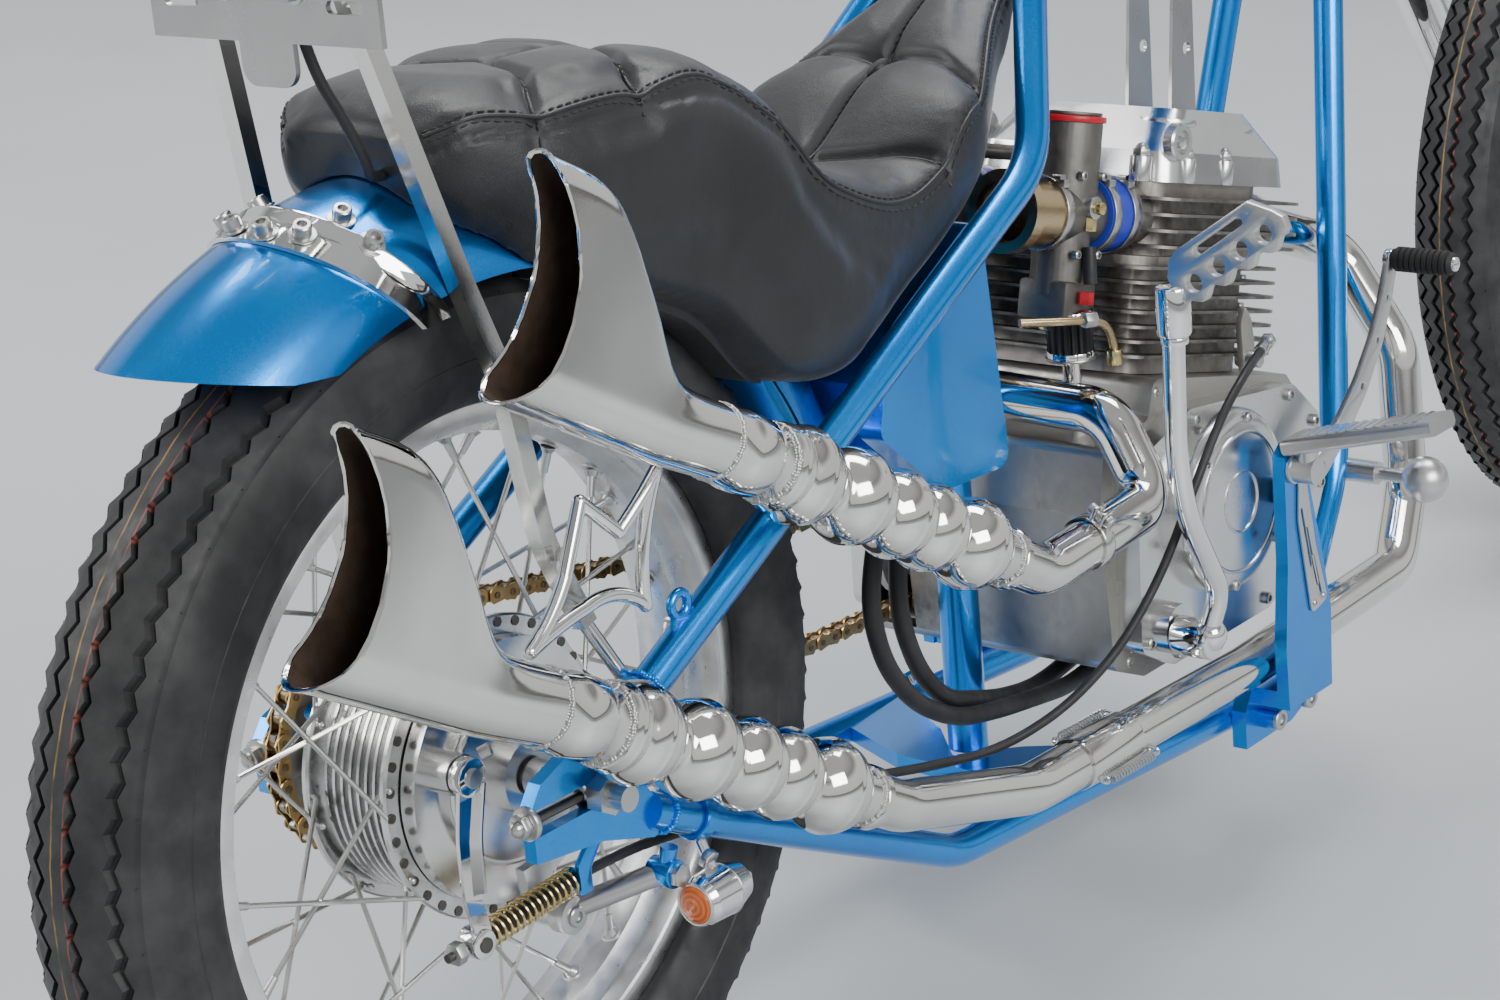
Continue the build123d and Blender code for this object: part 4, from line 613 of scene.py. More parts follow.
def tyre_rubber(name, centre):
    """Tyre rubber with the thin painted lines of a new tyre, one gold and one red."""
    soft = Nodes(name, (0.02, 0.02, 0.021), roughness=0.55, specular_ior_level=0.4)
    wobble = soft.maths("MULTIPLY", soft.maths("SUBTRACT", soft.noise(60.0, 5.0), 0.5), 0.003)
    across = soft.maths("ADD", soft.about_axle(centre)["Y"], wobble)
    colour = soft.blend(soft.ramp(soft.noise(30.0, 5.0), 0.4, 0.7), (0.017, 0.017, 0.018), (0.04, 0.04, 0.04))
    for where, half, tone in ((0.0008, 0.0011, (0.34, 0.19, 0.035)), (-0.0085, 0.0009, (0.26, 0.065, 0.045))):
        away = soft.maths("ABSOLUTE", soft.maths("SUBTRACT", across, where))
        streak = soft.ramp(away, half, half * 0.3)
        patchy = soft.maths("MULTIPLY", streak, soft.ramp(soft.noise(45.0, 4.0), 0.38, 0.6, 0.1, 0.9))
        colour = soft.blend(patchy, colour, tone)
    soft.show("Base Color", colour)
    soft.show("Roughness", soft.ramp(soft.noise(80.0, 4.0), 0.3, 0.7, 0.46, 0.66))
    soft.show("Normal", soft.bump(soft.noise(700.0, 5.0), 0.16, 0.0005))
    return soft.material


def leather():
    """Black hide: pebbled grain, soft creases, a little shine where it is stretched."""
    hide = Nodes(
        "seat_hide_black", (0.012, 0.0125, 0.0135), roughness=0.42, specular_ior_level=0.42,
        sheen_weight=0.12, sheen_roughness=0.4,
    )
    grain = hide.cells(620.0, "DISTANCE_TO_EDGE")
    pores = hide.ramp(grain, 0.0, 0.22)
    creases = hide.noise(26.0, 6.0, 0.62)
    fine = hide.noise(1800.0, 3.0)
    hide.show("Roughness", hide.ramp(hide.noise(14.0, 4.0), 0.3, 0.7, 0.34, 0.5))
    tone = hide.ramp(hide.noise(8.0, 3.0), 0.35, 0.65)
    hide.show("Base Color", hide.blend(tone, (0.009, 0.0095, 0.0105), (0.019, 0.02, 0.022)))
    first = hide.bump(creases, 0.22, 0.004)
    second = hide.bump(pores, 0.28, 0.00025, first)
    hide.show("Normal", hide.bump(fine, 0.08, 0.0002, second))
    return hide.material


LENS_RING_STEP = 0.0024


def lens_glass(name, colour, centre):
    """A ribbed lamp lens, rings pressed into its back and also painted into its colour as light and dark
    bands, with a faint painted glow though no lamp lights it.
    """
    # The emission is a painted glow: nothing lights the lens from behind.
    lens = Nodes(
        name, colour, roughness=0.08, ior=1.49, transmission_weight=0.35, coat_weight=0.6,
        emission_color=(*colour, 1), emission_strength=0.12,
    )
    away = lens.length(lens.from_spot(centre))
    rings = lens.maths("SINE", lens.maths("MULTIPLY", away, 2 * pi / LENS_RING_STEP))
    # Painted light and shade: the rings brighten and darken the lens colour in bands.
    painted_ring_bands = lens.ramp(rings, -1.0, 1.0)
    lens.show("Base Color", lens.blend(painted_ring_bands, tuple(channel * 0.45 for channel in colour), colour))
    lens.show("Normal", lens.bump(rings, 0.5, 0.0006))
    return lens.material


REAR_AXLE = (0, 0, 0)
FRONT_AXLE = (1713.0, 0, 14.0)
STEERING_HEAD = (1143, 0, 600)
BLUE = painted("blue_metallic", (0.0, 0.37, 0.95), (0.0, 0.17, 0.66), 0.24)
CHROME = polished("mirror_chrome", (0.86, 0.86, 0.85), 0.035, 0.05, 0.03)
PIPE_STEEL = polished("polished_pipe", (0.80, 0.785, 0.75), 0.055, 0.07, 0.05)
BAR_STEEL = polished("polished_bar", (0.72, 0.71, 0.68), 0.12, 0.1, 0.12)
STEEL = polished("plain_steel", (0.52, 0.52, 0.51), 0.26, 0.15, 0.12)
STAINLESS = polished("spoke_stainless", (0.66, 0.65, 0.62), 0.16, 0.1, 0.05)
DARK_STEEL = polished("dark_steel", (0.13, 0.12, 0.11), 0.34, 0.15, 0.15)
ALLOY = polished("polished_alloy_case", (0.70, 0.70, 0.69), 0.17, 0.14, 0.10)
SATIN_ALLOY = polished("satin_alloy", (0.62, 0.62, 0.61), 0.30, 0.1, 0.15)
RAW_ALLOY = cast("cast_engine_case", (0.29, 0.28, 0.26), 0.40, 1300.0, 0.3)
FIN_ALLOY = cast("finned_iron", (0.23, 0.215, 0.195), 0.44, 1500.0, 0.35)
CARB_METAL = cast("carburettor_metal", (0.12, 0.115, 0.105), 0.42, 1600.0, 0.3)
RIM_ALLOY = wheel_turned("rim_satin_rear", (0.78, 0.78, 0.77), REAR_AXLE, 0.30, 0.10)
FRONT_RIM_ALLOY = wheel_turned("rim_satin_front", (0.78, 0.78, 0.77), FRONT_AXLE, 0.30, 0.10)
HUB_ALLOY = wheel_turned("hub_polished_rear", (0.66, 0.66, 0.655), REAR_AXLE, 0.20, 0.14)
FRONT_HUB_ALLOY = wheel_turned("hub_polished_front", (0.66, 0.66, 0.655), FRONT_AXLE, 0.20, 0.14)
DISC_STEEL = wheel_turned("brake_disc_steel", (0.5, 0.5, 0.49), FRONT_AXLE, 0.25, 0.3)
SPROCKET_STEEL = wheel_turned("sprocket_steel", (0.34, 0.33, 0.31), REAR_AXLE, 0.32, 0.2)
GOLD = polished("gold_chain_plate", (0.52, 0.35, 0.15), 0.26, 0.2, 0.15)
CHAIN_STEEL = polished("chain_roller", (0.22, 0.17, 0.11), 0.34, 0.2, 0.15)
BRASS = polished("brass_wire", (0.70, 0.55, 0.25), 0.22, 0.1, 0.08)
HEATED = polished("heat_tinted_steel", (0.55, 0.42, 0.24), 0.2, 0.15, 0.1)
SOOT = cast("sooty_inside", (0.045, 0.028, 0.018), 0.6, 500.0, 0.4, 0.3)
REAR_RUBBER = tyre_rubber("tyre_rubber_rear", REAR_AXLE)
FRONT_RUBBER = tyre_rubber("tyre_rubber_front", FRONT_AXLE)
HOSE = rubber("hose_rubber", (0.016, 0.016, 0.017), 0.5)
GRIP_RUBBER = rubber("grip_rubber", (0.014, 0.014, 0.014), 0.68)
BLUE_SILICONE = rubber("blue_silicone", (0.02, 0.04, 0.42), 0.34, 0.1)
BLACK = rubber("black_paint_finish", (0.012, 0.012, 0.013), 0.36, 0.1)
RED_CAP = rubber("red_anodised", (0.45, 0.012, 0.02), 0.3, 0.1)
HIDE = leather()
THREAD = rubber("thread_black", (0.02, 0.02, 0.021), 0.7)


# Wheels
REAR_TYRE = {              # in mm; teeth is the count of zigzags round the tread
    "centre": REAR_AXLE, "outer": 336.0, "half": 53.5, "crown": 56.0, "flange": 242.5, "rim": 37.6,
    "teeth": 96, "grooves": (-37.0, -13.0, 13.0, 37.0),
}
FRONT_TYRE = {
    "centre": FRONT_AXLE, "outer": 350.0, "half": 41.0, "crown": 43.0, "flange": 278.0, "rim": 29.0,
    "teeth": 104, "grooves": (-24.0, -8.0, 8.0, 24.0),
}
GROOVE_HALF = 2.6
GROOVE_DEPTH = 5.5
GROOVE_SLOPE = 0.7
ZIGZAG = 3.2
SHOULDER = 0.86
FIT = 0.3


def crown_radius(size, across):
    """The tread's distance from the axle, some way across."""
    return size["outer"] - size["crown"] + sqrt(max(size["crown"] ** 2 - across ** 2, 1.0))


def treaded(size):
    """A tyre with zigzag grooves cut round a rounded tread, and plain ribbed side walls."""
    steps = 2 * size["teeth"]
    edge = size["half"] * SHOULDER
    floor_half = GROOVE_HALF - GROOVE_SLOPE
    rows = []
    for groove in size["grooves"]:
        for offset, depth in (
            (-GROOVE_HALF, 0.0), (-floor_half, GROOVE_DEPTH), (floor_half, GROOVE_DEPTH), (GROOVE_HALF, 0.0),
        ):
            rows.append((groove + offset, crown_radius(size, groove + offset) - depth, True))
    plain = [-edge, -edge + 3, size["grooves"][0] - 8]
    plain += [(first + second) / 2 for first, second in zip(size["grooves"], size["grooves"][1:])]
    plain += [size["grooves"][-1] + 8, edge - 3, edge]
    rows += [(across, crown_radius(size, across), False) for across in plain]
    rows.sort()
    shoulder = crown_radius(size, edge)
    belly = (shoulder + size["flange"]) / 2
    side = []
    for share in (0.2, 0.4, 0.6, 0.8):
        angle = share * pi / 2
        side.append((
            edge + (size["half"] - edge) * sin(angle),
            shoulder - (shoulder - belly) * (1 - cos(angle)),
        ))
    rib_end = (size["half"] - 0.3, belly - 3.2)
    foot = (size["rim"] + FIT, size["flange"] + FIT)
    for swell, down in ((0.0, 0.0), (-0.2, 1.5), (0.4, 2.2)):
        side.append((size["half"] + swell, belly - down))
    side.append(rib_end)
    for share in (0.25, 0.5, 0.75, 0.92):
        angle = share * pi / 2
        side.append((
            foot[0] + (rib_end[0] - foot[0]) * cos(angle) ** 0.8,
            foot[1] + (rib_end[1] - foot[1]) * (1 - sin(angle)) ** 0.9,
        ))
    side += [foot, (size["rim"] - 4.0, foot[1])]
    right_wall = [(-across, radius) for across, radius in reversed(side)]
    profile = right_wall + [(across, radius) for across, radius, _ in rows] + side
    shape = turned(profile, size["centre"], LEFT, steps)
    wavy = {round(across, 2) for across, _, zigzag in rows if zigzag}
    for corner in shape.verts:
        spot = corner.co - Vector(size["centre"])
        if round(spot.y, 2) in wavy and spot.xz.length > size["outer"] - 34:
            tooth = round(atan2(spot.z, spot.x) / (2 * pi) * steps)
            corner.co.y += ZIGZAG if tooth % 2 else -ZIGZAG
    return shape


def mould_nibs(size):
    """The short rubber whiskers that a mould leaves round the shoulders."""
    shape = bmesh.new()
    edge = size["half"] * SHOULDER
    for number in range(size["teeth"] // 2):
        for side in (1, -1):
            angle = 2 * pi * (number + 0.25 * (side + 1)) / (size["teeth"] // 2)
            radius = crown_radius(size, edge) - 1
            spot = Vector((radius * cos(angle), side * edge, radius * sin(angle))) + Vector(size["centre"])
            out = Vector((cos(angle), side * 0.8, sin(angle)))
            bmesh.ops.create_cone(
                shape, cap_ends=True, segments=5, radius1=0.6, radius2=0.35, depth=5.0,
                matrix=facing(spot, out),
            )
    return shape


for end, size, finish in (("rear", REAR_TYRE, REAR_RUBBER), ("front", FRONT_TYRE, FRONT_RUBBER)):
    tread = Piece(end + "_tyre_tread").add(treaded(size), finish)
    tread.done(end + "_wheel", "tyre", [end + "_tyre"], sharp=30)
    Piece(end + "_tyre_tread_nibs").add(mould_nibs(size), finish).done(end + "_wheel", "tyre")

SPOKE_COUNT = 36
SPOKE_R = 1.75
SPOKE_HEAD_R = 2.6
NIPPLE_ASIDE = 5.0
WELL = 14.0


def wheel_spot(centre, radius, across, angle):
    """A spot at some radius and angle round an axle."""
    return Vector((radius * cos(angle), across, radius * sin(angle))) + Vector(centre)


def laced(piece, centre, hub_radius, hub_half, rim_radius, cross):
    """Crossed wire spokes with bent heads at the hub and nipples at the rim."""
    wires = bmesh.new()
    nipples = bmesh.new()
    for number in range(SPOKE_COUNT):
        side = 1 if number % 2 else -1
        inner_side = 1 if (number // 2) % 2 else -1
        rim_angle = 2 * pi * (number + 0.5) / SPOKE_COUNT
        hub_angle = rim_angle + radians(cross) * inner_side
        head = wheel_spot(centre, hub_radius, side * (hub_half - 3.0 * inner_side), hub_angle)
        bend = wheel_spot(centre, hub_radius, side * (hub_half + 2.6 * inner_side), hub_angle)
        rim_end = wheel_spot(centre, rim_radius, side * NIPPLE_ASIDE, rim_angle)
        along = (rim_end - bend).normalized()
        wire = tube([head, bend, rim_end - along * 1.0], SPOKE_R, [2.2], sides=8, fineness=22)
        part = bpy.data.meshes.new("wire")
        wire.to_mesh(part)
        wire.free()
        wires.from_mesh(part)
        bpy.data.meshes.remove(part)
        bmesh.ops.create_uvsphere(
            wires, u_segments=8, v_segments=6, radius=SPOKE_HEAD_R, matrix=Matrix.Translation(head)
        )
        for back, low, high, length in ((9.0, 3.4, 2.6, 17.0), (1.5, 5.6, 3.6, 4.0)):
            bmesh.ops.create_cone(
                nipples, cap_ends=True, segments=10, radius1=high, radius2=low, depth=length,
                matrix=facing(rim_end - along * back, along),
            )
    piece.add(wires, STAINLESS)
    piece.add(nipples, SATIN_ALLOY)


for end, size, bead, well, finish in (
    ("rear", REAR_TYRE, 231.0, WELL, RIM_ALLOY), ("front", FRONT_TYRE, 267.0, WELL - 3, FRONT_RIM_ALLOY),
):
    centre, half, flange = size["centre"], size["rim"], size["flange"]
    rim = Piece(end + "_rim_lipped")
    section = [
        (half, flange - 1.2), (half - 0.9, flange), (half - 2.6, flange), (half - 3.5, flange - 1.2),
        (half - 3.5, bead), (half * 0.60, bead - 1.0), (half * 0.40, bead - well + 3.5),
        (-half * 0.40, bead - well + 3.5), (-half * 0.60, bead - 1.0), (-half + 3.5, bead),
        (-half + 3.5, flange - 1.2), (-half + 2.6, flange), (-half + 0.9, flange), (-half, flange - 1.2),
        (-half, bead - 2.0), (-half + 1.5, bead - 3.5), (-half * 0.66, bead - 3.6),
        (-half * 0.56, bead - 5.0), (-half * 0.36, bead - well + 0.4), (-half * 0.30, bead - well),
        (half * 0.30, bead - well), (half * 0.36, bead - well + 0.4), (half * 0.56, bead - 5.0),
        (half * 0.66, bead - 3.6), (half - 1.5, bead - 3.5), (half, bead - 2.0),
    ]
    rim.add(turned(section, centre, LEFT, 144, closed=True), finish)
    cups = bmesh.new()
    for number in range(SPOKE_COUNT):
        angle = 2 * pi * (number + 0.5) / SPOKE_COUNT
        side = 1 if number % 2 else -1
        spot = wheel_spot(centre, bead - well - 0.2, side * NIPPLE_ASIDE, angle)
        out = wheel_spot((0, 0, 0), -1, 0, angle)
        bmesh.ops.create_cone(
            cups, cap_ends=True, segments=20, radius1=8.6, radius2=6.6, depth=1.8,
            matrix=facing(spot, out),
        )
    rim.add(cups, finish)
    rim.done(end + "_wheel", "rim_alloy", [end + "_rim"])

# Hubs: a finned drum behind, a slim spool ahead
hub = Piece("rear_hub_drum")
fins = []
for along in range(8):
    start = -26.0 + along * 7.2
    fins += [(start, 88.0), (start + 0.6, 92.0), (start + 2.8, 92.0), (start + 3.4, 88.0)]
drum_rows = [
    (-36, 60), (-36, 99.5), (-34.5, 101), (-31.5, 101), (-30, 99.5), (-30, 88), *fins, (34, 88),
    (34, 99.5), (35.5, 101), (38.5, 101), (40, 99.5), (40, 66), (42, 62), (62, 62), (70, 58),
    (78, 50), (84, 48), (84.5, 34), (91.5, 34), (91.5, 8.6), (-30, 8.6), (-30, 60),
]
hub.add(turned(drum_rows, REAR_AXLE, LEFT, 96, closed=True), HUB_ALLOY)
rivets = bmesh.new()
for number in range(SPOKE_COUNT):
    angle = 2 * pi * number / SPOKE_COUNT
    for across in (-36.2, 40.2):
        bmesh.ops.create_cone(
            rivets, cap_ends=True, segments=12, radius1=3.4, radius2=3.0, depth=1.2,
            matrix=facing(wheel_spot(REAR_AXLE, 96, across, angle), LEFT),
        )
hub.add(rivets, DARK_STEEL)
laced(hub, REAR_AXLE, 97.0, 33.0, 215.5, 36.0)
hub.done("rear_wheel", "hub_alloy", ["rear_hub"])

front_hub = Piece("front_hub_spool")
spool = [
    (-62, 8.6), (-62, 19), (-60, 20), (-38, 25), (-36, 27), (-36, 50), (-35, 52), (-32, 52), (-31, 50),
    (-28, 36), (-20, 33.5), (20, 33.5), (28, 36), (31, 50), (32, 52), (46.5, 52), (47.4, 50),
    (47.4, 27), (60, 20.5), (62, 19), (62, 8.6),
]
front_hub.add(turned(spool, FRONT_AXLE, LEFT, 72, closed=True), FRONT_HUB_ALLOY)
laced(front_hub, FRONT_AXLE, 48.0, 34.0, 254.0, 46.0)
front_hub.done("front_wheel", "hub_alloy", ["front_hub"])

# Nodes whose solids stay in view, each with its finish; those that a piece replaces have one too
CARRIED = (
    ("backbone", BLUE), ("upper_rails", BLUE), ("lower_rails", BLUE), ("downtubes", BLUE),
    ("axle_plates", BLUE), ("seat_post", BLUE), ("rear_fender", BLUE), ("fuel_tank", BLUE),
    ("side_box", BLUE), ("foot_brackets", BLUE), ("stand_lug", BLUE), ("sissy_bar", BAR_STEEL),
    ("plate_bracket", STEEL), ("star_bracket", CHROME),
    ("head_steady", STEEL), ("rear_axle", STEEL), ("crankcase", RAW_ALLOY), ("engine_covers", ALLOY),
    ("cylinder", FIN_ALLOY), ("cylinder_head", FIN_ALLOY), ("head_cover", ALLOY), ("oil_hoses", HOSE),
    ("brake_cable", HOSE), ("brake_plate", ALLOY), ("footpegs", SATIN_ALLOY), ("foot_pedals", ALLOY),
    ("kick_lever", CHROME), ("fork_legs", CHROME), ("rockers", CHROME), ("handlebar", CHROME),
    ("grips", GRIP_RUBBER), ("headlamp", CHROME), ("brake_caliper", RAW_ALLOY), ("side_stand", CHROME),
    ("front_disc", DISC_STEEL), ("tail_lamp", CHROME), ("brake_linkage", BAR_STEEL), ("breather", CHROME),
    ("intake_boots", BLUE_SILICONE), ("carburettors", CARB_METAL), ("air_funnels", HEATED),
)

for node, finish in CARRIED:
    for holder in frame["nodes"][node].material_slots:
        holder.material = finish

# Exhausts: bulbs strung on the pipe, a welded collar, and an open horn with a hollow mouth
EXHAUST_Y = -170.0
TAIL_ANGLE = radians(29.8)
TAIL_BACK = Vector((-cos(TAIL_ANGLE), 0, sin(TAIL_ANGLE)))
TAIL_UP = Vector((sin(TAIL_ANGLE), 0, cos(TAIL_ANGLE)))
LOWER_TAIL = Vector((217.0, EXHAUST_Y, -78.0))
UPPER_TAIL = Vector((395.0, EXHAUST_Y, 37.0))
PIPE_R = 18.5
BULBS = ((52.0, 32.5), (106.0, 31.0), (146.0, 31.0), (199.0, 33.0), (260.0, 33.0), (284.0, 29.0))
COLLAR_START = 294.0
COLLAR_END = 352.0
COLLAR_R = 25.5
HORN_ROWS = (              # from the front ring, low round and its height, high round and its height
    (352.0, 24.0, -0.5, 24.0, 0.5), (402.0, 24.5, -3.0, 23.0, 2.5), (424.0, 24.5, -3.5, 21.0, 15.0),
    (456.0, 24.5, -3.5, 19.0, 53.0), (505.0, 24.5, -3.5, 16.0, 100.0), (568.0, 24.0, -4.0, 13.0, 109.0),
)
MOUTH_R = 92.0
MOUTH_ALONG = 618.0
MOUTH_RISE = 40.0
HORN_SPOTS = 72
HORN_WALL = 2.2


def horn_point(along, part, wall):
    """A point round the horn's section: part runs from 0 to 1, starting below."""
    low_r, low, high_r, high = eased(HORN_ROWS, along)
    slope = asin(max(-0.95, min(0.95, (low_r - high_r) / max(1.0, high - low))))
    low_r, high_r = low_r - wall, high_r - wall
    half_arc_low = (pi / 2 + slope) * low_r
    straight = (high - low) * cos(slope)
    half_arc_high = (pi / 2 - slope) * high_r
    total = half_arc_low + straight + half_arc_high
    side = 1 if part < 0.5 else -1
    run = total * (part if part < 0.5 else 1 - part) * 2
    if run < half_arc_low:
        angle = run / low_r
        return low - low_r * cos(angle), side * low_r * sin(angle)
    run -= half_arc_low
    if run < straight:
        share = run / straight
        start = Vector((low + low_r * sin(slope), low_r * cos(slope)))
        stop = Vector((high + high_r * sin(slope), high_r * cos(slope)))
        rise, aside = start.lerp(stop, share)
        return rise, side * aside
    angle = (run - straight) / high_r + pi / 2 + slope
    return high - high_r * cos(angle), side * high_r * sin(angle)


def mouth_along(part, wall):
    """How far back the horn reaches at one place round its section, where the hollow cuts it."""
    along = COLLAR_END
    while along < HORN_ROWS[-1][0] - 0.5:
        rise, _ = horn_point(along, part, wall)
        if (along - MOUTH_ALONG) ** 2 + (rise - MOUTH_RISE) ** 2 < MOUTH_R ** 2:
            break
        along += 1.0
    return along


def horn_loop(place, share, wall, start=COLLAR_END, back=0.0):
    """The horn's outline, a share of the way from its start to its mouth, a wall inside the outer skin."""
    loop = []
    for number in range(HORN_SPOTS):
        part = number / HORN_SPOTS
        stop = mouth_along(part, wall) - back
        along = start + (stop - start) * share
        rise, aside = horn_point(along, part, wall)
        loop.append(place @ Vector((rise, aside, along)))
    return loop


def exhaust_tail(name, start, node):
    """One tail: ring, string of bulbs, collar between weld beads, and horn."""
    place = facing(start, TAIL_BACK, TAIL_UP)
    tail = Piece(name)
    rows = [(0.0, PIPE_R), (0.0, PIPE_R + 3), (1.0, PIPE_R + 4), (7.0, PIPE_R + 4), (8.0, PIPE_R + 3)]
    along = 9.0
    while along < COLLAR_START:
        radius = PIPE_R + 1
        for centre, size in BULBS:
            if abs(along - centre) < size:
                seam = 0.55 if abs(along - centre) < 1.3 else 0.0
                radius = max(radius, sqrt(size ** 2 - (along - centre) ** 2) + seam)
        rows.append((along, radius))
        along += 1.5
    for step, swell in ((0, 0.0), (3, 0.0), (16, 0.3), (17.5, 1.2), (38, 1.2), (39.5, 0.3), (57, 0.0)):
        rows.append((COLLAR_START + step, COLLAR_R + swell))
    rows.append((COLLAR_END, 23.6))
    tail.add(turned(rows, start, TAIL_BACK, 72), PIPE_STEEL)
    for along, radius, size in (
        (COLLAR_START + 0.5, COLLAR_R + 0.2, 1.9), (COLLAR_END, 24.3, 1.7), (8.5, PIPE_R + 1.5, 1.5),
    ):
        tail.add(weld_bead(start + TAIL_BACK * along, TAIL_BACK, radius, size), STEEL)
    outer = [horn_loop(place, share / 22, 0.0) for share in range(23)]
    inner = [horn_loop(place, share / 14, HORN_WALL, start=COLLAR_END + 6) for share in range(14, -1, -1)]
    lip = [outer[-1]]
    for wall, back in ((-0.55, 0.4), (-0.5, -1.2), (1.1, -1.9), (2.5, -1.0)):
        lip.append(horn_loop(place, 1.0, wall, back=back))
    lip.append(inner[0])
    tail.add(skin(outer, ()), PIPE_STEEL)
    tail.add(skin(lip, ()), PIPE_STEEL)
    tail.add(skin(inner, (-1,)), SOOT)
    tail.done("frame", "chrome", [node], sharp=32)


exhaust_tail("lower_horned_tail", LOWER_TAIL, "lower_fishtail")
exhaust_tail("upper_horned_tail", UPPER_TAIL, "upper_fishtail")

CYL_TILT = radians(14.0)
CYL_BASE = Vector((765.0, 0, 66.0))
CYL_UP = Vector((sin(CYL_TILT), 0, cos(CYL_TILT)))
CYL_FRONT = Vector((cos(CYL_TILT), 0, -sin(CYL_TILT)))


def engine_spot(front, aside, up):
    """A spot counted from the foot of the cylinders, along their own ways."""
    return CYL_BASE + CYL_FRONT * front + CYL_UP * up + LEFT * aside


RIGHT_PORT = engine_spot(141.3, -50, 116)
LEFT_PORT = engine_spot(141.3, 50, 116)
RUN_START = Vector((735, -150, -167))
RUN_END = Vector((410, -166, -146))
LOWER_PIPE = [
    RIGHT_PORT, RIGHT_PORT + CYL_FRONT * 26, (1042, -34, 108), (1087, -46, 88), (1082, -106, 4),
    (1072, -116, -120), (1000, -142, -166), RUN_START, RUN_END, LOWER_TAIL - TAIL_BACK * 38,
    LOWER_TAIL - TAIL_BACK * 0.3,
]
LOWER_BENDS = [60.0, 200.0, 40.0, 60.0, 60.0, 60.0, 300.0, 110.0, 80.0]
UPPER_PIPE = [
    LEFT_PORT, LEFT_PORT + CYL_FRONT * 48, (972, 144, 104), (800, 156, 90), (644, 152, 88), (606, 60, 86),
    (602, -124, 82), (594, -164, 20), (435, -170, 14.1), UPPER_TAIL - TAIL_BACK * 0.3,
]
UPPER_BENDS = [42.0, 42.0, 200.0, 60.0, 80.0, 42.0, 32.0, 50.0]


def band(centre, axis, radius, back, ahead, soft, rises, steps=48):
    """A sleeve or band round a pipe, with softened rims."""
    low, high = radius + rises[0], radius + rises[1]
    profile = [
        (back, radius), (back, low), (back + soft, high), (ahead - soft, high), (ahead, low), (ahead, radius),
    ]
    return turned(profile, centre, axis, steps)


def pipe_clamp(piece, centre, axis, radius, ear):
    """A band clamp with its two ears and bolt."""
    piece.add(band(centre, axis, radius, -6, 6, 1, (1.6, 2.2)), BAR_STEEL)
    out = Vector(centre) + Vector(ear) * (radius + 7)
    across = Vector(ear).cross(Vector(axis)).normalized()
    for side in (1, -1):
        piece.add(block(facing(out + across * 4 * side, ear, axis), (12, 3, 13), 0.8), BAR_STEEL)
    piece.add(nut(out + across * 6, across, 5.2, 4.5), STEEL)
    piece.add(cap_bolt(out - across * 6, across * -1, 4.6, 5), STEEL)
    piece.add(drum(out - across * 6, across, 2.6, 12, 0.3, 12), STEEL)


lower_pipe = Piece("lower_pipe_bent")
lower_pipe.add(tube(LOWER_PIPE, PIPE_R, room_for(LOWER_PIPE, LOWER_BENDS), 48, 3.0), PIPE_STEEL)
run = (RUN_END - RUN_START).normalized()
joint_spot = RUN_START + run * 230
lower_pipe.add(band(joint_spot, run, PIPE_R, -38, 36, 2, (1.6, 2.2)), PIPE_STEEL)
for angle in (60, 240):
    out = Matrix.Rotation(radians(angle), 3, run) @ UP
    for along in (-52, 22):
        spot = joint_spot + run * along + out * (PIPE_R + 4)
        lower_pipe.add(ring(spot, out.cross(run), 4.2, 1.3, 20, 8), BAR_STEEL)
    lower_pipe.add(coil(joint_spot + run * -47 + out * (PIPE_R + 7), run, 3.4, 0.9, 15, 62, 14, 6), STEEL)
lower_pipe.add(ring(RIGHT_PORT + CYL_FRONT * 1.5, CYL_FRONT, 24, 3.5), STEEL)
lower_pipe.done("frame", "chrome", ["lower_exhaust"])
upper_pipe = Piece("upper_pipe_bent")
upper_pipe.add(tube(UPPER_PIPE, PIPE_R, room_for(UPPER_PIPE, UPPER_BENDS), 48, 3.0), PIPE_STEEL)
upper_pipe.add(ring(LEFT_PORT + CYL_FRONT * 1.5, CYL_FRONT, 24, 3.5), STEEL)
pipe_clamp(upper_pipe, Vector((500, -168, 16.6)), Vector((-1, 0, 0.03)), PIPE_R, Vector((0, -0.5, 0.86)))
upper_pipe.done("frame", "chrome", ["upper_exhaust"])

# Saddle: hide over foam, swelled as cloth under pressure, then tufted and stitched
SEAT_ROWS = (              # x, half width, underside, top
    (-34.0, 62.0, 384.0, 430.0), (-8.0, 88.0, 364.0, 443.0), (60.0, 106.0, 318.0, 438.0),
    (180.0, 113.0, 262.0, 433.0), (250.0, 117.0, 196.0, 396.0), (315.0, 118.0, 186.0, 332.0),
    (400.0, 117.0, 226.0, 303.0), (485.0, 112.0, 272.0, 350.0), (585.0, 66.0, 342.0, 404.0),
    (640.0, 48.0, 398.0, 440.0),
)
SEAT_STATIONS = 60
SWELL_ROOM = 4.0           # how far inside its rows the foam starts
SWELL_CAP = 5.0
HIDE_VOXEL = 6.0
PRESSURE = 4.0
CLOTH_FRAMES = 20
RIM_INSIDE = 6.0
BUTTONS = (178.0, 511.0)
BUTTON_SINK, BUTTON_REACH = 9.0, 17.0
PILLOW_RISE, PILLOW_REACH = 3.6, 20.0
CHANNEL_SINK, CHANNEL_REACH = 7.5, 4.2
RIM_SINK, RIM_REACH = 2.6, 2.8
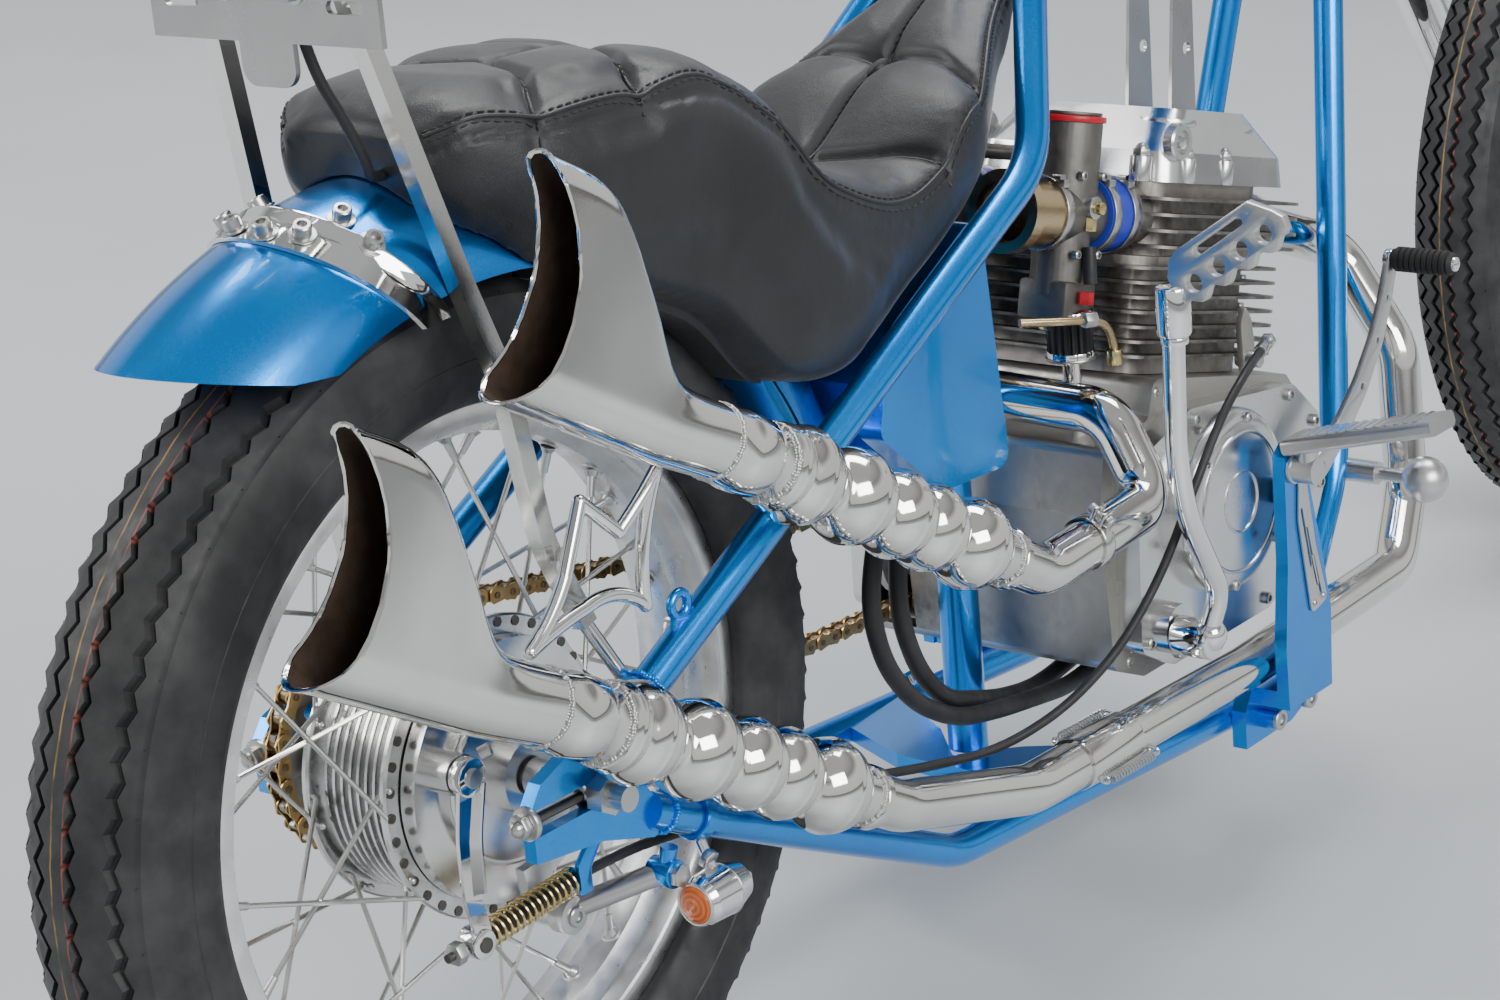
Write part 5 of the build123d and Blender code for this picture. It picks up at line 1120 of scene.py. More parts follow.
CHANNELS = (               # lines of tufts seen from above, as (x, y) points
    ((35.0, -101.0), (82.0, -46.0), (98.0, 0.0), (82.0, 46.0), (35.0, 101.0)),
    ((128.0, -104.0), (160.0, -50.0), (178.0, 0.0), (160.0, 50.0), (128.0, 104.0)),
    ((98.0, 0.0), (178.0, 0.0), (252.0, 0.0)),
    ((442.0, -108.0), (424.0, -55.0), (412.0, 0.0), (424.0, 55.0), (442.0, 108.0)),
    ((506.0, -98.0), (512.0, -50.0), (511.0, 0.0), (512.0, 50.0), (506.0, 98.0)),
    ((412.0, 0.0), (511.0, 0.0), (606.0, 0.0)),
)


def seat_size(x):
    """Half width, underside and top of the saddle at one station, eased between the rows."""
    return eased(SEAT_ROWS, x, 0.85)


def seat_loop(x, shrink):
    """The saddle's outline across one station."""
    half, low, top = seat_size(x)
    half, low, top = half - shrink, low + shrink * 0.4, top - shrink
    corner = min(20.0, (top - low) * 0.45, half * 0.6)
    loop = []
    for y_sign, z_sign, start in ((1, 1, 0.0), (-1, 1, pi / 2), (-1, -1, pi), (1, -1, 3 * pi / 2)):
        for part in range(7):
            angle = start + pi / 2 * part / 6
            y = y_sign * (half - corner) + corner * cos(angle)
            z = (top if z_sign > 0 else low) - z_sign * corner + corner * sin(angle)
            loop.append(Vector((x, y, z)))
        if start in (0.0, pi):
            span = half - corner
            for part in range(1, 8):
                y = y_sign * span * (1 - part / 4)
                crown = 6.0 * (1 - (y / half) ** 2) if z_sign > 0 else 0.0
                loop.append(Vector((x, y, (top + crown) if z_sign > 0 else low)))
    return loop


UPPER_RAIL = ((46.0, 121.0, 42.0), (525.0, 121.0, 289.0), (697.0, 14.0, 514.0))
RAIL_R = 12.7
POST_X, POST_R, POST_TOP = 562.0, 16.0, 330.0
FENDER_ARCH = (319.2, 76.8)        # how far the middle of the fender's round is from the axle, and its radius
KEEP_OUT = 1.2


def clear_spot(spot):
    """Moves a point of the hide out of the rails, the seat post and the fender below it."""
    side = 1 if spot.y > 0 else -1
    for first, second in zip(UPPER_RAIL, UPPER_RAIL[1:]):
        start = Vector((first[0], side * first[1], first[2]))
        along = Vector((second[0], side * second[1], second[2])) - start
        share = min(1.0, max(0.0, (spot - start).dot(along) / along.length_squared))
        away = spot - (start + along * share)
        if away.length < RAIL_R + KEEP_OUT:
            spot = start + along * share + away.normalized() * (RAIL_R + KEEP_OUT)
    x, y, z = spot
    post = Vector((x - POST_X, y))
    if z < POST_TOP and 0.01 < post.length < POST_R + KEEP_OUT:
        post = post.normalized() * (POST_R + KEEP_OUT)
        x, y = POST_X + post.x, post.y
        spot = Vector((x, y, z))
    centre, radius = FENDER_ARCH
    reach = sqrt(x * x + z * z)
    if abs(y) < radius + KEEP_OUT and reach > 1:
        arch = centre + sqrt(max(0.0, (radius + KEEP_OUT) ** 2 - y * y))
        if centre < reach < arch:
            spot = Vector((x * arch / reach, y, z * arch / reach))
        elif reach <= centre:
            spot = Vector((x, side * (radius + KEEP_OUT), z))
    return spot


def near_line(x, y, lines):
    """The shortest way from a place seen from above to any of the lines."""
    best = 1e9
    for line in lines:
        for first, second in zip(line, line[1:]):
            along = (second[0] - first[0], second[1] - first[1])
            size = along[0] ** 2 + along[1] ** 2
            share = min(1.0, max(0.0, ((x - first[0]) * along[0] + (y - first[1]) * along[1]) / size))
            away = (x - first[0] - share * along[0], y - first[1] - share * along[1])
            best = min(best, sqrt(away[0] ** 2 + away[1] ** 2))
    return best


def bell(distance, reach):
    """1 on a line, falling off softly beside it."""
    return 2.7 ** (-(distance / reach) ** 2)


seat_mesh = bpy.data.meshes.new("seat_start")
stations = [-34 + 674 * part / SEAT_STATIONS for part in range(SEAT_STATIONS + 1)]
seat_start = skin([seat_loop(x, SWELL_ROOM) for x in stations], (0, -1))
bmesh.ops.recalc_face_normals(seat_start, faces=seat_start.faces)
seat_start.transform(Matrix.Scale(0.001, 4))
seat_start.to_mesh(seat_mesh)
seat_start.free()
seat_holder = bpy.data.objects.new("seat_start", seat_mesh)
bpy.context.scene.collection.objects.link(seat_holder)


def apply_modifiers(holder):
    """Gives the object the mesh that its modifiers make, and clears them."""
    bpy.context.view_layer.update()
    made = bpy.data.meshes.new_from_object(holder.evaluated_get(bpy.context.evaluated_depsgraph_get()))
    holder.modifiers.clear()
    holder.data = made


voxels = seat_holder.modifiers.new("voxels", "REMESH")
voxels.mode = "VOXEL"
voxels.voxel_size = HIDE_VOXEL / 1000
apply_modifiers(seat_holder)
rest = [corner.co.copy() for corner in seat_holder.data.vertices]
cloth = seat_holder.modifiers.new("cloth", "CLOTH")
cloth.settings.use_pressure = True
cloth.settings.uniform_pressure_force = PRESSURE
cloth.settings.effector_weights.gravity = 0.0
cloth.settings.quality = 4
cloth.settings.tension_stiffness = 12
cloth.settings.bending_stiffness = 0.5
cloth.point_cache.frame_start = 1
cloth.point_cache.frame_end = CLOTH_FRAMES
for step in range(1, CLOTH_FRAMES + 1):
    bpy.context.scene.frame_set(step)
apply_modifiers(seat_holder)
bpy.context.scene.frame_set(1)
for corner, start in zip(seat_holder.data.vertices, rest):
    moved = corner.co - start
    if moved.length > SWELL_CAP / 1000:
        corner.co = start + moved.normalized() * SWELL_CAP / 1000
finer = seat_holder.modifiers.new("finer", "SUBSURF")
finer.levels = 1
finer.render_levels = 1
apply_modifiers(seat_holder)
hide_shape = bmesh.new()
hide_shape.from_mesh(seat_holder.data)
bpy.data.objects.remove(seat_holder)
hide_shape.transform(Matrix.Scale(1000, 4))
bmesh.ops.smooth_vert(
    hide_shape, verts=hide_shape.verts, factor=0.5, use_axis_x=True, use_axis_y=True, use_axis_z=True
)
hide_shape.normal_update()
for corner in hide_shape.verts:
    x, y, z = corner.co
    half, _, top = seat_size(x)
    shift = Vector()
    edge = abs(y) - (half - RIM_INSIDE)
    if z > top - 22 and corner.normal.z > 0.15:
        away = near_line(x, y, CHANNELS)
        for button in BUTTONS:
            shift -= corner.normal * BUTTON_SINK * bell(sqrt((x - button) ** 2 + y * y), BUTTON_REACH)
        inside = min(1.0, max(0.0, -edge / 14))
        pillow = PILLOW_RISE * (1 - bell(away, PILLOW_REACH)) - CHANNEL_SINK * bell(away, CHANNEL_REACH)
        shift += corner.normal * (pillow * inside - 1.5 * inside)
    if z > top - 26:
        shift -= corner.normal * RIM_SINK * bell(edge, RIM_REACH)
    corner.co = clear_spot(corner.co + shift)
hide_shape.normal_update()
hide_tree = BVHTree.FromBMesh(hide_shape)
saddle = Piece("seat_padded")
saddle.add(hide_shape, HIDE)
seat_piece = saddle.done("frame", "seat_hide", ["seat"], sharp=75)


def hide_spot(x, y):
    """A place on the hide seen from above, with the way it faces."""
    return hide_tree.ray_cast(Vector((x, y, 600.0)), -UP)[:2]


def rim_place(x, side, inward):
    """A place seen from above, some way inside the saddle's rim."""
    return x, side * (seat_size(x)[0] - RIM_INSIDE - inward)


def seam_bead(spots, lift, radius):
    """A raised seam on the hide along places seen from above."""
    found = [hide_spot(*spot) for spot in spots]
    return smooth_line([spot + way * lift for spot, way in found if spot is not None], radius)


def stitched(piece, line, pitch=5.2, size=0.75, lift=0.5):
    """A row of short thread stitches on the hide along a line seen from above."""
    spots = []
    for first, second in zip(line, line[1:]):
        length = sqrt((second[0] - first[0]) ** 2 + (second[1] - first[1]) ** 2)
        steps = max(1, round(length / pitch))
        for step in range(steps):
            share = step / steps
            spots.append(Vector(first) * (1 - share) + Vector(second) * share)
    threads = bmesh.new()
    for first, second in zip(spots, spots[1:]):
        start, way = hide_spot(*first)
        stop, _ = hide_spot(*second)
        if start is None or stop is None or (stop - start).length > 3 * pitch:
            continue
        along = stop - start
        bmesh.ops.create_uvsphere(
            threads, u_segments=6, v_segments=5, radius=1.0,
            matrix=facing(start + along / 2 + way * lift, along)
            @ Matrix.Diagonal((size, size, along.length * 0.36, 1)),
        )
    piece.add(threads, THREAD)


seams = Piece("seat_seams")
rim_xs = [-24 + 640 * part / 90 for part in range(91)]
for side in (1, -1):
    for inward in (4.4, 8.6):
        stitched(seams, [rim_place(x, side, inward) for x in rim_xs])
    seams.add(seam_bead([rim_place(x, side, 6.5) for x in rim_xs[::2]], 0.2, 1.5), HIDE)
for line in CHANNELS:
    stitched(seams, [(x + 1.6, y + 1.6) for x, y in line], 5.0, 0.7, 0.7)
    places = []
    for first, second in zip(line, line[1:]):
        places += [Vector(first) + (Vector(second) - Vector(first)) * part / 6 for part in range(6)]
    seams.add(seam_bead(places, 0.3, 1.1), HIDE)
for button in BUTTONS:
    seams.add(turned(
        [(-3.0, 0.01), (-3.0, 9.5), (1.0, 12.2), (4.6, 12.0), (7.8, 8.8), (9.2, 4.6), (9.6, 0.01)],
        *hide_spot(button, 0.0), 36,
    ), HIDE)
seams.done("frame", "seat_hide")


# Rear fittings: bolts, and the polished strap that follows the fender's round
def fender_place(x, y, lift=0.0):
    """A spot on the fender with the way it faces."""
    centre, radius = FENDER_ARCH
    reach = centre + sqrt(radius ** 2 - y * y)
    z = sqrt(reach ** 2 - x * x)
    way = Vector((x / reach * (reach - centre), y, z / reach * (reach - centre))).normalized()
    return Vector((x, y, z)) + way * lift, way


fender_bolts = Piece("fender_bolts")
for x, y, lift in ((-104.0, -30.5, 3.3), (-74.0, -55.0, 3.3), (-116.0, -12.0, 3.3), (-74.0, -34.0, 0.2)):
    spot, way = fender_place(x, y, lift)
    fender_bolts.add(drum(spot, way, 9.0, 1.8, 0.6, 32), STEEL, both_sides=True)
    fender_bolts.add(cap_bolt(spot + way * 1.8, way, 6.0, 7.5), STEEL, both_sides=True)
STRAP_SECTION = (          # lift off the fender, and share of the way from the rear edge to the front edge
    (0.35, 0.0), (3.3, 0.06), (3.3, 0.5), (4.6, 0.80), (6.8, 0.94), (6.8, 1.0), (3.4, 1.0), (0.35, 0.94),
)
strap_rows = []
for step in range(41):
    turn = -pi / 2 + pi * step / 40
    loop = []
    for lift, share in STRAP_SECTION:
        arch = FENDER_ARCH[0] + (FENDER_ARCH[1] + lift) * cos(turn)
        height = (arch - 322.0) / 74.0
        rear, ahead = 101.0 + 7.2 * height, 97.0 + 6.0 * height
        angle = radians(rear + (ahead - rear) * share)
        loop.append(Vector((arch * cos(angle), (FENDER_ARCH[1] + lift) * sin(turn), arch * sin(angle))))
    strap_rows.append(loop)
fender_bolts.add(lofted(strap_rows), CHROME)
for y in (-30.0, 30.0):
    fender_bolts.add(drum((-84.5, y, 521), BACK, 8.5, 1.8, 0.6), STEEL)
    fender_bolts.add(cap_bolt((-86.3, y, 521), BACK, 6.2, 7.0), STEEL)
fender_bolts.done("frame", "steel")

CHAIN_Y = 88.0
CHAIN_PITCH = 15.875
REAR_TEETH = 30
FRONT_TEETH = 17
PLATE_R = 6.9
FRONT_SPROCKET = Vector((612.0, CHAIN_Y, -62.0))
REAR_PITCH_R = CHAIN_PITCH / 2 / sin(pi / REAR_TEETH)
FRONT_PITCH_R = CHAIN_PITCH / 2 / sin(pi / FRONT_TEETH)


def chain_spots():
    """The chain's line round both sprockets, as evenly spaced pins."""
    span = Vector((FRONT_SPROCKET.x, FRONT_SPROCKET.z))
    slope = atan2(span.y, span.x)
    lean = asin((REAR_PITCH_R - FRONT_PITCH_R) / span.length)
    line = []
    for part in range(61):
        angle = slope + pi / 2 - lean + (pi + 2 * lean) * part / 60
        line.append((REAR_PITCH_R * cos(angle), REAR_PITCH_R * sin(angle)))
    for part in range(41):
        angle = slope - pi / 2 + lean + (pi - 2 * lean) * part / 40
        line.append((
            FRONT_SPROCKET.x + FRONT_PITCH_R * cos(angle), FRONT_SPROCKET.z + FRONT_PITCH_R * sin(angle)
        ))
    line.append(line[0])
    lengths = [sqrt((b[0] - a[0]) ** 2 + (b[1] - a[1]) ** 2) for a, b in zip(line, line[1:])]
    count = 2 * round(sum(lengths) / CHAIN_PITCH / 2)
    step = sum(lengths) / count
    spots = []
    run, number = 0.0, 0
    for pin in range(count):
        while run + lengths[number] < pin * step:
            run += lengths[number]
            number += 1
        share = (pin * step - run) / lengths[number]
        first, second = line[number], line[number + 1]
        x, z = (start + (stop - start) * share for start, stop in zip(first, second))
        spots.append(Vector((x, CHAIN_Y, z)))
    return spots


def link_plate(first, second, y_from, y_to):
    """One figure-of-eight side plate between two pins."""
    along = (second - first).normalized()
    across = LEFT.cross(along)
    outline = []
    for centre, way in ((second, 1), (first, -1)):
        for part in range(7):
            angle = (part / 6 - 0.5) * 2.3
            spot = centre + (along * cos(angle) + across * sin(angle)) * PLATE_R * way
            outline.append((spot.x, spot.z))
        middle = (first + second) / 2 + across * PLATE_R * 0.62 * way
        outline.append((middle.x, middle.z))
    return slab(outline, CHAIN_Y + y_from, CHAIN_Y + y_to, edge=0.3, edge_steps=1)


chain = Piece("chain_links")
pins = chain_spots()
for number, first in enumerate(pins):
    second = pins[(number + 1) % len(pins)]
    near, far = (5.6, 7.3) if number % 2 else (3.6, 5.3)
    chain.add(link_plate(first, second, near, far), GOLD)
    chain.add(link_plate(first, second, -far, -near), GOLD)
    chain.add(drum(first - LEFT * 3.5, LEFT, 5.0, 7.0, 0.3, 10), CHAIN_STEEL)
    chain.add(drum(first - LEFT * 8.3, LEFT, 2.5, 16.6, 0.4, 8), CHAIN_STEEL)
chain.done("frame", "gold_chain", ["chain"])

teeth = []
for number in range(REAR_TEETH):
    for turn, reach in ((-0.30, -5.6), (-0.16, 0.6), (-0.07, 4.6), (0.07, 4.6), (0.16, 0.6), (0.30, -5.6)):
        angle = 2 * pi * (number + 0.5 + turn) / REAR_TEETH
        teeth.append(((REAR_PITCH_R + reach) * cos(angle), (REAR_PITCH_R + reach) * sin(angle)))
sprocket_place = facing((0, CHAIN_Y, 0), LEFT, X_WAY)
HOLE_COUNT = 10
HOLE_CIRCLE = 54.0
SPROCKET_WALL = 6.0
sprocket = Piece("rear_sprocket_toothed")
holes = [(0.0, 0.0, 69.0, 69.0, 0.0)]
bolt_spots = []
for number in range(HOLE_COUNT):
    angle = 2 * pi * number / HOLE_COUNT
    x, y = HOLE_CIRCLE * cos(angle), HOLE_CIRCLE * sin(angle)
    size = 9.0 if number % 2 else 13.0
    holes.append((x, y, size, size, 0.0))
    if number % 2:
        bolt_spots.append(sprocket_place @ Vector((x, y, SPROCKET_WALL / 2)))
sprocket.add(cut_sheet(teeth, holes, SPROCKET_WALL, sprocket_place, 0.8), SPROCKET_STEEL)
for spot in bolt_spots:
    sprocket.add(nut(spot, LEFT, 7.5, 5.0), STEEL)
sprocket.done("rear_wheel", "steel", ["rear_sprocket"])

# Brake linkage with its sprung rod, and the torque arm
ROD_START = Vector((-114, -90, -77))
ROD_END = Vector((14.6, -90, -70))
linkage = Piece("brake_linkage_sprung")
ARM_LINE = [(-60, -71, 26), (-70, -73, -18), (-80, -83, -52), (-87, -96, -68), (-90, -96, -80)]
linkage.add(bar(ARM_LINE, 17, 3, [60, 30, 14], X_WAY, 1.0), CHROME)
linkage.add(bar([(-52, -74.5, 16), (-62, -76, -18), (-73, -86, -50)], 3, 7, [60], X_WAY, 0.8), CHROME)
linkage.add(drum((-60, -65.6, 22), RIGHT, 13, 10, 1.5), CHROME)
linkage.add(drum((-60, -75, 22), RIGHT, 6.5, 3.5, 1.0), STEEL)
linkage.add(cap_bolt((-46, -70, 32), (0.5, -0.5, 0.3), 4.6, 8), STEEL)
linkage.add(drum((-88, -82, -76), RIGHT, 10, 17, 1.2), CHROME)
linkage.add(drum((-88, -98.6, -76), RIGHT, 5.2, 2.0, 0.6), DARK_STEEL)
rod_way = (ROD_END - ROD_START).normalized()
linkage.add(tube([ROD_START, ROD_END], 3.0, sides=16), DARK_STEEL)
linkage.add(nut((-101, -90, -76.3), -rod_way, 8.0, 8.0), STEEL)
linkage.add(coil((-76, -90, -75), rod_way, 8.6, 1.1, 14, 80, 22, 8), BRASS)
linkage.add(tube([(-72, -90, -74.8), (2, -90, -70.7)], 5.2, sides=20), HOSE)
linkage.add(coil((-72, -90, -74.8), rod_way, 5.3, 0.6, 22, 72, 16, 6), DARK_STEEL)
linkage.add(drum((4, -90, -70.6), rod_way, 8.5, 3, 0.8), BLUE)
linkage.add(slab([(2, -58), (20, -40), (30, -44), (14, -64), (14, -80), (3, -80)], -99, -95, 2, 0.6), BLUE)
linkage.add(drum((16, -63.8, -104), RIGHT, 13, 14, 1.4), SATIN_ALLOY)
linkage.add(cap_bolt((16, -77.8, -104), RIGHT, 7.2, 3.0), STEEL)
linkage.add(tube([(25, -74, -100), (66, -114, -84)], 8.0, sides=28), STEEL)
linkage.add(drum((66, -105, -84), RIGHT, 10, 20, 1.2), BLUE)
linkage.add(nut((66, -125, -84), RIGHT, 8.5, 6), STEEL)
linkage.add(tube([(66, -116, -82), (68, -119, -66)], 6.0, sides=20), BLUE)
linkage.done("frame", "steel", ["brake_linkage"])

# Axle adjusters behind the slotted plates, hose eyes on the upper rails, and indicator bands
adjusters = Piece("axle_adjusters")
LOWER_RAIL_WAY = Vector((324, 0, -158))
for shape, finish in (
    (drum((-60, -121, 1), BACK, 11.5, 4.5, 1.2), STEEL),
    (nut((-64.5, -121, 1), BACK, 8.5, 7.0), STEEL),
    (ball((-71.5, -121, 1), 5.5, 10), STEEL),
    (tube([(-60, -121, 1), (-12, -121, 0.5)], 3.4, sides=14), DARK_STEEL),
    (ring((98, -121, 93), LEFT, 8.0, 3.4), BLUE),
    (slab([(86, 64), (112, 77), (106, 88), (91, 88)], -123.5, -118.5, 2, 0.6), BLUE),
    (band((94, -121, -54.4), LOWER_RAIL_WAY, 13.0, -5, 5, 1, (2.0, 3.0), 40), BLUE),
    (nut((94.5, -126, -82), (0, -0.9, -0.42), 7.5, 6), STEEL),
):
    adjusters.add(shape, finish, both_sides=True)
adjusters.done("frame", "blue_paint")

for side, name in ((-1, "right"), (1, "left")):
    middle = Vector((98.0, side * 134.0, -106.0))
    amber = lens_glass("amber_lens_" + name, (0.85, 0.17, 0.008), middle + Vector((-25, 0, 0)))
    lens = Piece("indicator_lens_" + name)
    lens.add(turned(
        [(0, 0.01), (0, 13.6), (1.5, 13.4), (3.4, 11.0), (4.6, 7.0), (5.0, 3.0), (5.1, 0.01)],
        middle + Vector((-25.6, 0, 0)), BACK, 48,
    ), amber)
    lens.add(ring(middle + Vector((-26.4, 0, 0)), X_WAY, 14.2, 1.3, 56, 10), SATIN_ALLOY)
    lens.add(ring(middle + Vector((2, 0, 0)), X_WAY, 18.0, 0.5, 56, 8), SATIN_ALLOY)
    lens.done("frame", None)

# Foot controls
KICK = [(627, -184, -102), (632, -196, -60), (560, -208, 40), (566, -208, 190)]
kick = Piece("kick_lever_knuckled")
kick.add(tube(KICK, 8.4, room_for(KICK, [40.0, 150.0]), 32, 4.0), CHROME)
kick.add(drum((628, -158.6, -100), RIGHT, 15.5, 34, 3.0, 40), CHROME)
kick.add(cap_bolt((642, -176, -104), (1, 0, -0.2), 5.5, 8), STEEL)
kick.add(ball((629, -187, -96), 13.5, 16), CHROME)
kick.add(drum((566, -208, 160), UP, 13.0, 38, 3.0, 40), CHROME)
kick.add(drum((566, -208, 154), UP, 10.4, 6, 1.0, 40), CHROME)
FINGER_STEP = 24.0
FINGER_START = 16.0
knuckle = []
for step in range(49):
    along = 100.0 * step / 48 + 2.0
    knuckle.append((along, 17.0 + 3.2 * cos(2 * pi * (along - FINGER_START) / FINGER_STEP)))
knuckle += [(106, 12), (108, 4), (103, -4), (96, -12), (90, -19), (18, -20), (8, -17), (0, -8), (-2, 4)]
finger_holes = [(FINGER_START + FINGER_STEP * number, 6.0, 16.0, 16.0, 0.0) for number in range(4)]
finger_holes.append((54.0, -11.5, 52.0, 9.0, 0.0))
pedal_place = Matrix(((0, 0, 1), (-0.82, -0.57, 0), (0.57, -0.82, 0))).to_4x4()
pedal_place.translation = Vector((566, -212, 198))
kick.add(cut_sheet(knuckle, finger_holes, 8.0, pedal_place, 1.0), SATIN_ALLOY)
kick.done("frame", "chrome", ["kick_lever"])

PEDAL_PATH = [(800, -34), (840, -24), (876, -2), (908, 24), (936, 56), (954, 88), (966, 118)]
pedals = Piece("foot_pedals_pierced")
upper_edge, lower_edge, arm_holes = [], [], []
for number, (x, z) in enumerate(PEDAL_PATH):
    before = Vector(PEDAL_PATH[max(0, number - 1)])
    after = Vector(PEDAL_PATH[min(len(PEDAL_PATH) - 1, number + 1)])
    way = (after - before).normalized()
    half = 11.5 - 0.8 * number
    upper_edge.append((x - way.y * half, z + way.x * half))
    lower_edge.append((x + way.y * half, z - way.x * half))
    if 0 < number < len(PEDAL_PATH) - 1:
        arm_holes.append((x, z, 9.5 - number * 0.8, 9.5 - number * 0.8, 0.0))
pedals.add(cut_sheet(
    upper_edge + lower_edge[::-1], arm_holes, 6.0, facing((0, -165.7, 0), RIGHT, X_WAY), 0.8, 8.0
), SATIN_ALLOY, both_sides=True)
pedals.add(drum((800, -161.5, -34), RIGHT, 13, 9, 1.2, 40), ALLOY, both_sides=True)
ribs = [(0, 0.01), (0, 7.0), (3, 8.5), (5, 9.2)]
for number in range(9):
    start = 6.0 + number * 5.2
    ribs += [(start, 10.4), (start + 3.4, 10.4), (start + 4.0, 8.8), (start + 4.8, 8.8)]
ribs += [(54, 9.6), (57, 7.5), (57.5, 0.01)]
pedals.add(turned(ribs, (966, -166.5, 118), RIGHT, 36), GRIP_RUBBER, both_sides=True)
pedals.add(turned([(56, 0.01), (56, 6.4), (59, 5.8), (60.5, 3.0), (61, 0.01)], (966, -166.5, 118), RIGHT, 28),
           CHROME, both_sides=True)
pedals.add(drum((966, -161.5, 118), RIGHT, 8.0, 7, 1.0, 28), CHROME, both_sides=True)
pedals.done("frame", "polished_alloy", ["foot_pedals"])

brackets = Piece("foot_bracket_trim")
insert = [(-9, 66), (-2, 66), (12, -6), (28, -56), (4, -62), (-12, 20)]
slits = [(-2.0, 4.0, 56.0, 4.0, 103.0), (6.0, -14.0, 56.0, 4.0, 105.0), (13.0, -32.0, 40.0, 4.0, 107.0)]
brackets.add(cut_sheet(insert, slits, 2.2, facing((785, -183.3, -70), RIGHT, X_WAY), 0.5, 6.0), SATIN_ALLOY,
             both_sides=True)
for x, z in ((779, -8), (792, -124), (806, -122)):
    brackets.add(cap_bolt((x, -184.4, z), RIGHT, 2.6, 1.6), STEEL, both_sides=True)
for x, z in ((769, -221), (818, -219)):
    brackets.add(cap_bolt((x, -160.9, z), RIGHT, 9.0, 3.4), STEEL, both_sides=True)
brackets.add(drum((770, -181.9, -4), RIGHT, 12.5, 4, 1.0, 36), SATIN_ALLOY, both_sides=True)
peg_place = facing((770, -183, 17), (0, -0.972, 0.236), X_WAY)
for number in range(13):
    spot = peg_place @ Vector((0, 0, 14 + number * 8.6))
    ends = [spot + Vector((reach, -1.6, 6.9)) for reach in (-15, 15)]
    brackets.add(bar(ends, 4.2, 2.0, [], LEFT, 0.5), ALLOY, both_sides=True)
brackets.done("frame", "polished_alloy")

# Engine details over the plain castings
CASE_HALF = 118.0
COVER_LINE = (
    (606, -112), (650, -136), (796, -136), (862, -108), (892, -55), (886, 4), (846, 40), (690, 62), (612, 40),
)
fasteners = Piece("engine_fasteners")
middle = Vector((745.0, -36.0))
for x, z in COVER_LINE:
    inward = (middle - Vector((x, z))).normalized() * 11.0
    for side in (RIGHT, LEFT):
        spot = Vector((x + inward.x, side.y * (CASE_HALF + 22.0), z + inward.y))
        fasteners.add(cap_bolt(spot, side, 5.0, 4.0), STEEL)
for centre, reach, side, depth in (((727.0, -22.0), 67.0, RIGHT, 42.0), ((800.0, -22.0), 59.0, LEFT, 42.0)):
    for number in range(6):
        angle = 2 * pi * (number + 0.3) / 6
        spot = wheel_spot((centre[0], 0, centre[1]), reach, side.y * (CASE_HALF + depth - 0.4), angle)
        fasteners.add(cap_bolt(spot, side, 4.2, 3.0), STEEL)
    face = (centre[0], side.y * (CASE_HALF + depth), centre[1])
    fasteners.add(ring(face, LEFT, reach - 11, 1.6, 72, 8), ALLOY)
    fasteners.add(ring(face, LEFT, 24.0, 1.2, 56, 8), ALLOY)
for front, aside in ((-84, 84), (-28, 90), (30, 90), (84, 84), (-84, -84), (-28, -90), (30, -90), (84, -84)):
    fasteners.add(drum(engine_spot(front, aside, 150), CYL_UP, 8.6, 20, 1.0, 28), ALLOY)
    fasteners.add(nut(engine_spot(front, aside, 170), CYL_UP, 7.4, 5.5), STEEL)
    fasteners.add(ball(engine_spot(front, aside, 175), 5.2, 10), STEEL)
for front, aside in ((78, 58), (78, -58), (-12, 58), (-12, -58)):
    up = 200.0 if front > 0 else 204.0
    fasteners.add(turned(
        [(0, 0.01), (0, 25), (2, 25.5), (5, 24.5), (5, 0.01)], engine_spot(front, aside, up - 9), CYL_UP, 56
    ), ALLOY)
side_cap = engine_spot(-46, -90, 182)
for side in (RIGHT, LEFT):
    spot = Vector((side_cap.x, side.y * 88.0, side_cap.z))
    fasteners.add(turned(
        [(0, 0.01), (0, 15), (8, 15), (9.5, 13.6), (9.5, 9.5), (6, 8.5), (6, 5.0), (9, 4.4), (9.6, 0.01)],
        spot, side, 48,
    ), ALLOY)
for up in (20.0, 45.0, 68.0):
    for aside in (-70.0, 70.0):
        fasteners.add(drum(engine_spot(108, aside, up), CYL_UP, 4.0, 9, 0.6, 16), STEEL)
fasteners.done("frame", "polished_alloy")

